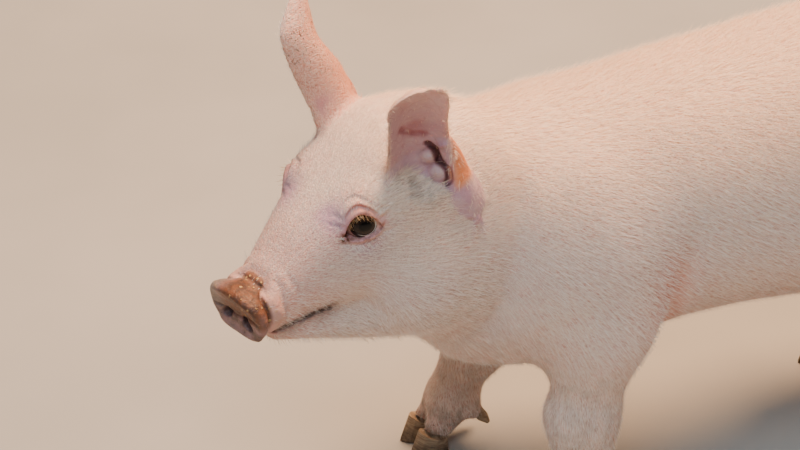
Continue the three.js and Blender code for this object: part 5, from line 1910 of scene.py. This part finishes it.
@dataclass
class Skin:
    """The pig's one skin, over the whole body."""

    cell: float = 3.0
    low: Triple = (-276.0, -110.0, -6.0)
    high: Triple = (200.0, 76.0, 300.0)
    flesh: Flesh = FLESH
    finish: SkinFinish = SkinFinish()
    nodes: tuple[str, ...] = (
        "head", "lower_jaw", "snout_disc", "ear_left", "ear_right",
        "neck", "chest", "barrel", "rump", "tail",
    )

    def fineness(self, p: Array) -> Array:
        """How long an edge may be at each point, in millimetres."""
        head = self.flesh.head
        h = self.flesh.pose.to_head(p)
        x, _, z = h.T
        q = folded(h)
        e = head.socket.local(q)
        edge = np.full(len(p), 3.6)
        edge[x > -12.0] = 1.9
        edge[p[:, 2] < 36.0] = 1.9
        ears = (q[:, 1] > 27.0) & (z > 14.0) & (x > 5.0) & (x < 75.0)
        edge[ears | ((z > 56.0) & (x > 0.0))] = 1.3
        relief = EarRelief()
        edge[ears & (relief.from_line(q, relief.crease) < 3.5)] = 0.75
        edge[x > 99.0] = 0.95
        m = z - head.mouth.height(x)
        edge[(np.abs(m) < 4.5) & (x > 80.0)] = 0.9
        edge[(np.abs(m) < 1.4) & (x > 82.0) & (x < 120.0)] = 0.6
        near_eye = (np.linalg.norm(e, axis=1) < 17.0) & (e[:, 0] > 1.0)
        edge[near_eye] = 0.9
        edge[near_eye & (np.abs(head.socket.opening(e)) < 2.2)] = 0.45
        return edge

    def shape(self) -> Surface:
        """Works the skin out from the distance field and refines it."""
        plain, fine = self.flesh.field(Detail.PLAIN), self.flesh.field(Detail.FINE)
        low = np.array(self.low)
        surface = mended(sampled(plain, low, np.array(self.high), self.cell), low, self.cell)
        surface.settle(plain, 3, 0.45, 1.5)
        for level in range(3):
            corners = surface.points[surface.triangles]
            longest = np.linalg.norm(corners - np.roll(corners, -1, axis=1), axis=2).max(axis=1)
            surface.split(longest > 1.35 * self.fineness(surface.centres()))
            surface.settle(plain if level == 0 else fine, 2, 0.35, 0.8)
        surface.settle(fine, 2, 0.25, 0.6)
        surface.settle(fine, 1, 0.0, 0.4)
        self.thin_ears(surface)
        return surface

    def thin_ears(self, surface: Surface) -> None:
        """Brings the ears from their thickness in the field down to their own, with their creases."""
        head = self.flesh.head
        h = self.flesh.pose.to_head(surface.points)
        thick = ear_shapes(THICK)
        for side, ear in ear_shapes(0.0).items():
            own = h * side.flip
            near = ear.near(own)
            near = near[thick[side](own[near]) < 2.5]
            q = own[near]
            base = carve(self.flesh.body(surface.points[near]), head.ear_hollow(q), head.hollow_fillet)
            move = ear.thinned(q, thick[side], self.flesh.skin_depth) * ramp(base, 0.4, 3.2)[:, None]
            h[near] += move * side.flip
        surface.points = self.flesh.pose.to_body(h)
        self.crease_ears(surface)

    def crease_ears(self, surface: Surface) -> None:
        """Sinks and lifts the creases, the lumps and the pockets on the cupped side of the ears."""
        axes = self.flesh.pose.axes()
        h = self.flesh.pose.to_head(surface.points)
        facing = surface.facing()
        for side, ear in ear_shapes(0.0).items():
            near = ear.near(h * side.flip)
            own, normal = h[near] * side.flip, (facing[near] @ axes.T) * side.flip
            spot = ear.blade.places(own)
            blade = ear.share(own) * ramp(spot.off, -0.3, 0.3)
            lift = ear.relief.lift(own) * ear.relief.cup(own, normal, blade)
            surface.points[near] += lift[:, None] * facing[near]

    def build(self, shift: Array) -> bpy.types.Object:
        """Makes the skin, with everything that it carries as attributes.

        Args:
            shift: From the script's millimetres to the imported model's place.

        Returns:
            The skin.
        """
        surface = self.shape()
        marks = SkinMarks(surface, surface.facing())
        skin = plain_object("skin", (surface.points + shift) * MM, surface.triangles)
        marks.coat()
        marks.lashes()
        marks.colours()
        for name, values in marks.tables.items():
            paint(skin, name, "FLOAT", "POINT", values)
        paint(skin, "lie", "FLOAT_VECTOR", "POINT", marks.lie())
        paint(skin, "lash_lie", "FLOAT_VECTOR", "POINT", marks.lash_lie())
        part = marks.parts()
        paint(skin, "part", "INT", "FACE", part)
        paint(skin, "unwrap", "FLOAT2", "CORNER", marks.unwrap(part))
        LOG.info("skin: %d points, %d triangles", len(surface.points), len(surface.triangles))
        return skin

    def dress(self, skin: bpy.types.Object) -> None:
        """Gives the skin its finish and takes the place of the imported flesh."""
        skin.data.materials.append(self.finish.make())
        legs = [f"{leg.word}_{half}" for leg in LEGS for half in ("upper", "lower")]
        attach(skin, "root")
        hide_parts(*self.nodes, *legs)


# ------------------------------------------------------------------ eyes


@dataclass(frozen=True)
class Eyeball:
    """One eye, turned on its own axis, finest over the cornea."""

    side: Side
    socket: EyeSocket = EyeSocket()
    cornea: float = 0.5  # how far the cornea stands out
    slack: float = 0.1  # how much smaller the eye is than its socket
    rings: int = 72
    sectors: int = 96

    def build(self, shift: Array) -> bpy.types.Object:
        """Makes the eye in its socket.

        Args:
            shift: From the script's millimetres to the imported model's place.

        Returns:
            The eye.
        """
        t = np.linspace(0.0, 1.0, self.rings + 1)[1:-1]
        polar = math.pi * (0.45 * t + 0.55 * t**2)
        radius = self.socket.radius - self.slack
        reach = radius + self.cornea * ramp(polar, 0.86, 0.4)
        turn = np.linspace(0.0, 2.0 * math.pi, self.sectors, endpoint=False)
        out = np.cos(polar)[:, None] * reach[:, None] * np.ones(self.sectors)
        wide = np.sin(polar)[:, None] * reach[:, None] * np.cos(turn)
        tall = np.sin(polar)[:, None] * reach[:, None] * np.sin(turn)
        local = np.stack([out, wide, tall], axis=2).reshape(-1, 3)
        local = np.vstack([local, [[radius + self.cornea, 0, 0], [-radius, 0, 0]]])
        count, last = self.rings - 1, len(local) - 1
        faces = []
        for j in range(self.sectors):
            k = (j + 1) % self.sectors
            faces.append((last - 1, j, k))
            for i in range(count - 1):
                a, b = i * self.sectors, (i + 1) * self.sectors
                faces.append((a + j, b + j, b + k, a + k))
            base = (count - 1) * self.sectors
            faces.append((last, base + k, base + j))
        h = self.socket.to_head(local, self.side)
        eye = plain_object(f"eyeball_{self.side.word}", (FLESH.pose.to_body(h) + shift) * MM, faces)
        paint(eye, "gaze", "FLOAT_VECTOR", "POINT", local / self.socket.radius)
        face_out(eye)
        return eye

    def dress(self, eye: bpy.types.Object, material: bpy.types.Material) -> None:
        """Gives the eye its finish and hangs it on the root body."""
        eye.data.materials.append(material)
        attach(eye, "root")
        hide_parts(f"eye_{self.side.word}")


def face_out(obj: bpy.types.Object) -> None:
    """Turns all faces of a closed mesh outwards."""
    work = bmesh.new()
    work.from_mesh(obj.data)
    bmesh.ops.recalc_face_normals(work, faces=work.faces)
    work.to_mesh(obj.data)
    work.free()


# ------------------------------------------------------------------ the coat


@dataclass
class TuftTree(Nodes):
    """Geometry nodes that plant blades of hair on a surface, along its lie."""

    name: str = "tufts"

    INPUTS = (
        ("Density", "NodeSocketFloat"), ("Width", "NodeSocketFloat"), ("Lift", "NodeSocketFloat"),
        ("Stray", "NodeSocketFloat"), ("Part", "NodeSocketInt"), ("Seed", "NodeSocketInt"),
        ("Growth", "NodeSocketString"), ("Length", "NodeSocketString"), ("Lie", "NodeSocketString"),
        ("Blade", "NodeSocketObject"), ("Finish", "NodeSocketMaterial"),
    )
    PATCH = 0.003  # the size of one hair's patch in the OFBake coordinates

    def __post_init__(self) -> None:
        """Builds the tree."""
        self.tree = bpy.data.node_groups.new(self.name, "GeometryNodeTree")
        face = self.tree.interface
        face.new_socket("Geometry", in_out="INPUT", socket_type="NodeSocketGeometry")
        for name, kind in self.INPUTS:
            face.new_socket(name, in_out="INPUT", socket_type=kind)
        face.new_socket("Geometry", in_out="OUTPUT", socket_type="NodeSocketGeometry")
        self.wire()

    def named(self, name: object, kind: str = "FLOAT") -> Socket:
        """The value of a mesh attribute."""
        return self.add("GeometryNodeInputNamedAttribute", {"Name": name}, data_type=kind).outputs[0]

    def vector(self, kind: str, a: object, b: object) -> Socket:
        """One sum on two vectors."""
        return self.add("ShaderNodeVectorMath", {0: a, 1: b}, operation=kind).outputs[0]

    def scaled(self, a: object, size: object) -> Socket:
        """A vector times a number."""
        return self.add("ShaderNodeVectorMath", {0: a, "Scale": size}, operation="SCALE").outputs[0]

    def random(self, low: float, high: float, seed: object, more: int) -> Socket:
        """A number drawn for each blade."""
        inputs = {2: low, 3: high, "Seed": self.math("ADD", seed, float(more))}
        return self.add("FunctionNodeRandomValue", inputs, data_type="FLOAT").outputs[1]

    def wire(self) -> None:
        """Joins the nodes up."""
        source = self.tree.nodes.new("NodeGroupInput").outputs
        here = self.add(
            "FunctionNodeCompare", {2: self.named("part", "INT"), 3: source["Part"]},
            data_type="INT", operation="EQUAL",
        ).outputs[0]
        density = self.times(self.named(source["Growth"]), source["Density"])
        points = self.add(
            "GeometryNodeDistributePointsOnFaces",
            {"Mesh": source["Geometry"], "Selection": here, "Density": density, "Seed": source["Seed"]},
            distribute_method="RANDOM",
        )
        shade = self.random(0.0, 1.0, source["Seed"], 11)
        store = self.add(
            "GeometryNodeStoreNamedAttribute",
            {"Geometry": points.outputs["Points"], "Name": "shade", "Value": shade},
            data_type="FLOAT", domain="POINT",
        )
        size = self.times(self.named(source["Length"]), self.random(0.6, 1.25, source["Seed"], 23))
        lift = self.times(source["Lift"], self.random(0.3, 1.9, source["Seed"], 37))
        draw = self.add(
            "FunctionNodeRandomValue", {0: (-1, -1, -1), 1: (1, 1, 1), "Seed": source["Seed"]},
            data_type="FLOAT_VECTOR",
        )
        stray = self.scaled(draw.outputs[0], source["Stray"])
        normal = points.outputs["Normal"]
        aim = self.vector("ADD", self.named(source["Lie"], "FLOAT_VECTOR"), self.scaled(normal, lift))
        aim = self.vector("ADD", aim, stray)
        turn = self.add(
            "FunctionNodeAxesToRotation", {"Primary Axis": aim, "Secondary Axis": normal},
            primary_axis="X", secondary_axis="Z",
        )
        scale = self.add("ShaderNodeCombineXYZ", {0: size, 1: source["Width"], 2: size})
        blade = self.add("GeometryNodeObjectInfo", {"Object": source["Blade"]})
        planted = self.add(
            "GeometryNodeInstanceOnPoints",
            {
                "Points": store.outputs[0], "Instance": blade.outputs["Geometry"],
                "Rotation": turn.outputs[0], "Scale": scale.outputs[0],
            },
        )
        real = self.add("GeometryNodeRealizeInstances", {"Geometry": planted.outputs[0]})
        root = self.named("unwrap", "FLOAT_VECTOR")
        patch = self.scaled(self.named("patch", "FLOAT_VECTOR"), self.PATCH)
        patch = self.vector("ADD", root, patch)
        baked = self.add(
            "GeometryNodeStoreNamedAttribute",
            {"Geometry": real.outputs[0], "Name": "OFBake", "Value": patch},
            data_type="FLOAT2", domain="CORNER",
        )
        done = self.add(
            "GeometryNodeSetMaterial", {"Geometry": baked.outputs[0], "Material": source["Finish"]}
        )
        self.add("NodeGroupOutput", {"Geometry": done.outputs[0]})

    def identifier(self, name: str) -> str:
        """The identifier of a named input."""
        items = self.tree.interface.items_tree
        return next(i.identifier for i in items if i.name == name and i.in_out == "INPUT")

    def grow(self, name: str, bed: bpy.types.Object, values: dict[str, object]) -> bpy.types.Object:
        """Grows one piece of hair on a surface.

        Args:
            name: The piece's name.
            bed: The object that it grows on.
            values: A value for each named input.

        Returns:
            The piece, as a plain mesh.
        """
        carrier = placed("carrier", bed.data)
        modifier = carrier.modifiers.new("tufts", "NODES")
        modifier.node_group = self.tree
        for key, value in values.items():
            modifier[self.identifier(key)] = value
        graph = bpy.context.evaluated_depsgraph_get()
        mesh = bpy.data.meshes.new_from_object(carrier.evaluated_get(graph))
        carrier.modifiers.remove(modifier)
        bpy.data.objects.remove(carrier)
        mesh.name = name
        kept = {"shade", "soil", "dark", "along", "OFBake"}
        spare = [a.name for a in mesh.attributes if not (a.name in kept or a.is_required or a.is_internal)]
        for word in spare:
            mesh.attributes.remove(mesh.attributes[word])
        if mesh.materials and mesh.materials[0] is None:
            mesh.materials.pop(index=0)
        LOG.info("%s: %d triangles", name, len(mesh.polygons))
        return placed(name, mesh)


@dataclass(frozen=True)
class HairLayer:
    """One kind of hair: how it grows, and the skin's attributes that steer it."""

    word: str
    density: float  # to the square metre, times the growth attribute
    width: float  # in millimetres
    lift: float
    stray: float
    growth: str
    length: str
    lie: str
    finish: HairFinish
    parts: tuple[Part, ...]


@dataclass
class Coat:
    """The short coat, the longer bristles and the lashes, grown on the skin."""

    seed: int = 5
    layers: tuple[HairLayer, ...] = (
        HairLayer("coat", 7.5e5, 0.15, 0.2, 0.2, "dense", "hair_length", "lie", HairFinish(), tuple(Part)),
        HairLayer(
            "bristles", 3.2e5, 0.17, 0.6, 0.3, "bristly", "bristle_length", "lie", HairFinish(), tuple(Part)
        ),
        HairLayer(
            "lashes", 8.0e5, 0.13, 0.1, 0.25, "lashy", "lash_length", "lash_lie",
            HairFinish(pale=tint(196, 152, 92), warm=tint(140, 96, 54), root=tint(88, 58, 36)), (Part.FACE,),
        ),
    )

    def blade(self) -> bpy.types.Object:
        """One hair of unit length, flat, bent and pointed, which is planted many times."""
        low = [[-0.02, -0.5, -0.02], [-0.02, 0.5, -0.02]]
        points = np.array([*low, [0.5, -0.42, 0.05], [0.5, 0.42, 0.05], [1.0, 0.0, 0.0]])
        faces = [(0, 2, 3), (0, 3, 1), (2, 4, 3)]
        blade = plain_object("blade", points, faces, smooth=False)
        paint(blade, "patch", "FLOAT_VECTOR", "POINT", points - np.array([0.5, 0.0, 0.0]))
        paint(blade, "along", "FLOAT", "POINT", np.clip(points[:, 0], 0.0, 1.0))
        return blade

    def build(self, skin: bpy.types.Object) -> list[bpy.types.Object]:
        """Grows every piece of the coat.

        Args:
            skin: The skin that carries it.

        Returns:
            The pieces.
        """
        tree, blade = TuftTree(), self.blade()
        thin = 1.0
        pieces = []
        for number, layer in enumerate(self.layers):
            material = layer.finish.make(f"piglet_{layer.word}")
            for part in layer.parts:
                values = {
                    "Density": layer.density * thin, "Width": layer.width * MM, "Lift": layer.lift,
                    "Stray": layer.stray, "Part": part.value, "Seed": self.seed + 40 * number + part.value,
                    "Growth": layer.growth, "Length": layer.length, "Lie": layer.lie, "Blade": blade,
                    "Finish": material,
                }
                pieces.append(tree.grow(f"{layer.word}_{part.name.lower()}", skin, values))
        bpy.data.objects.remove(blade)
        kept = [piece for piece in pieces if piece.data.polygons]
        for piece in set(pieces) - set(kept):
            bpy.data.objects.remove(piece)
        return kept

    def dress(self, pieces: Iterable[bpy.types.Object]) -> None:
        """Hangs every piece on the root body."""
        for piece in pieces:
            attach(piece, "root")


# ------------------------------------------------------------------ claws


@dataclass
class Claws:
    """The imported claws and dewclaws, which stay, with their finish."""

    finish: HornFinish = HornFinish()

    def dress(self) -> None:
        """Gives each packed claw its finish."""
        material = self.finish.make()
        for obj in bpy.data.objects:
            if "claw" in obj.name and obj.type == "MESH":
                obj.data.materials.clear()
                obj.data.materials.append(material)
        LOG.info("claws dressed")


# ------------------------------------------------------------------ studio


@dataclass(frozen=True)
class Lamp:
    """One soft round lamp that points at the pig."""

    name: str
    place: Triple  # in metres
    size: float  # in metres
    power: float  # in watts
    colour: Colour
    aim: Triple = (0.0, 0.0, 0.15)  # the middle of the pig, in metres

    def hang(self) -> None:
        """Adds the lamp to the scene."""
        data = bpy.data.lights.new(self.name, "AREA")
        data.shape = "DISK"
        data.size = self.size
        data.energy = self.power
        data.color = self.colour
        lamp = placed(self.name, data)
        lamp.location = self.place
        aim = Vector(self.aim) - Vector(self.place)
        lamp.rotation_euler = aim.to_track_quat("-Z", "Y").to_euler()


@dataclass(frozen=True)
class Studio:
    """The camera, the floor and the light."""

    elevation: float = 33.0
    azimuth: float = -21.0
    roll: float = 2.0
    focal: float = 3000.0  # in pixels
    per_mm: float = 2.15  # pixels to a millimetre at the anchor
    anchor: Triple = (-70.0, -40.0, 101.0)
    anchor_pixel: tuple[float, float] = (603.0, 350.0)
    image: tuple[float, float] = (800.0, 450.0)
    level_radius: float = 2.75  # of the floor, in metres
    rim_radius: float = 1.6  # of the curve on which the floor's rim rises, in metres
    floor_drop: float = 0.0002  # how far the floor lies under the claws, in metres
    finish: FloorFinish = FloorFinish()
    lamps: tuple[Lamp, ...] = (
        Lamp("key", (0.35, 0.35, 1.75), 0.9, 88.0, (1.0, 0.62, 0.36)),
        Lamp("fill", (-0.65, -0.95, 1.9), 1.2, 28.5, (0.75, 0.91, 1.0)),
    )
    room: Colour = (0.86, 0.90, 1.0)
    room_strength: float = 0.12

    def camera(self, shift: Array) -> None:
        """Places the camera.

        Args:
            shift: From the script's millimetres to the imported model's place.
        """
        az, el, roll = (math.radians(v) for v in (self.azimuth, self.elevation, self.roll))
        toward = np.array([math.sin(az) * math.cos(el), -math.cos(az) * math.cos(el), math.sin(el)])
        right = np.array([math.cos(az), math.sin(az), 0.0])
        up = np.cross(toward, right)
        across = right * math.cos(roll) + up * math.sin(roll)
        rise = up * math.cos(roll) - right * math.sin(roll)
        distance = self.focal / self.per_mm
        u = (self.anchor_pixel[0] - self.image[0] / 2) / self.focal * distance
        v = (self.image[1] / 2 - self.anchor_pixel[1]) / self.focal * distance
        place = np.array(self.anchor) + shift - across * u - rise * v + toward * distance
        data = bpy.data.cameras.new("camera")
        data.sensor_width = 36.0
        data.lens = self.focal / self.image[0] * data.sensor_width
        data.clip_end = 20.0
        camera = placed("camera", data)
        turn = Matrix(np.stack([across, rise, toward], axis=1).tolist()).to_4x4()
        camera.matrix_world = Matrix.Translation(Vector(place * MM)) @ turn
        bpy.context.scene.camera = camera

    def floor(self) -> None:
        """Lays the floor, a round smooth sheet whose rim rises softly on every side."""
        level = np.linspace(0.25, self.level_radius, 11)
        sweep = np.linspace(0.1, 1.5, 15)
        reach = np.concatenate([level, self.level_radius + self.rim_radius * np.sin(sweep)])
        rise = np.concatenate([np.zeros(len(level)), self.rim_radius * (1.0 - np.cos(sweep))])
        n = 96
        turn = np.linspace(0.0, 2.0 * math.pi, n, endpoint=False)
        circle = np.column_stack([np.cos(turn), np.sin(turn), np.zeros(n)])
        rings = [r * circle + np.array([0.0, 0.0, z]) for r, z in zip(reach, rise)]
        points = np.vstack([*rings, [[0.0, 0.0, 0.0]]]) - np.array([0.0, 0.0, self.floor_drop])
        faces = [
            (i * n + j, (i + 1) * n + j, (i + 1) * n + (j + 1) % n, i * n + (j + 1) % n)
            for i in range(len(reach) - 1) for j in range(n)
        ]
        faces += [(len(points) - 1, j, (j + 1) % n) for j in range(n)]
        floor = plain_object("floor", points, faces)
        floor.data.materials.append(self.finish.make())

    def light(self) -> None:
        """Hangs the lamps and sets the room's own soft light."""
        for lamp in self.lamps:
            lamp.hang()
        world = bpy.data.worlds.new("room")
        world.use_nodes = True
        back = world.node_tree.nodes["Background"].inputs
        back["Color"].default_value = full(self.room)
        back["Strength"].default_value = self.room_strength
        bpy.context.scene.world = world


# ------------------------------------------------------------------ everything in order


def packed_shift() -> Array:
    """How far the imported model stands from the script's own millimetres, read from the claws."""
    apart = []
    for leg in LEGS:
        boxes = [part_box(f"claw_{leg.word}_{half}") for half in ("outer", "inner")]
        middle = np.mean([(np.array(low) + np.array(high)) / 2.0 for low, high in boxes], axis=0) / MM
        apart.append(middle - np.array([*leg.toe, middle[2]]))
    shift = np.mean(apart, axis=0)
    LOG.info("packed shift: %s", np.round(shift, 3))
    return shift


def main() -> None:
    """Builds and dresses every piece in order."""
    logging.basicConfig(level=logging.INFO, format="%(message)s")
    shift = packed_shift()
    studio = Studio()
    studio.camera(shift)
    studio.floor()
    studio.light()
    skin_maker = Skin()
    skin = skin_maker.build(shift)
    coat = Coat()
    pieces = coat.build(skin)
    skin_maker.dress(skin)
    coat.dress(pieces)
    eye_material = EyeFinish().make()
    for side in Side:
        ball = Eyeball(side)
        ball.dress(ball.build(shift), eye_material)
    Claws().dress()


if __name__ == "__main__":
    main()
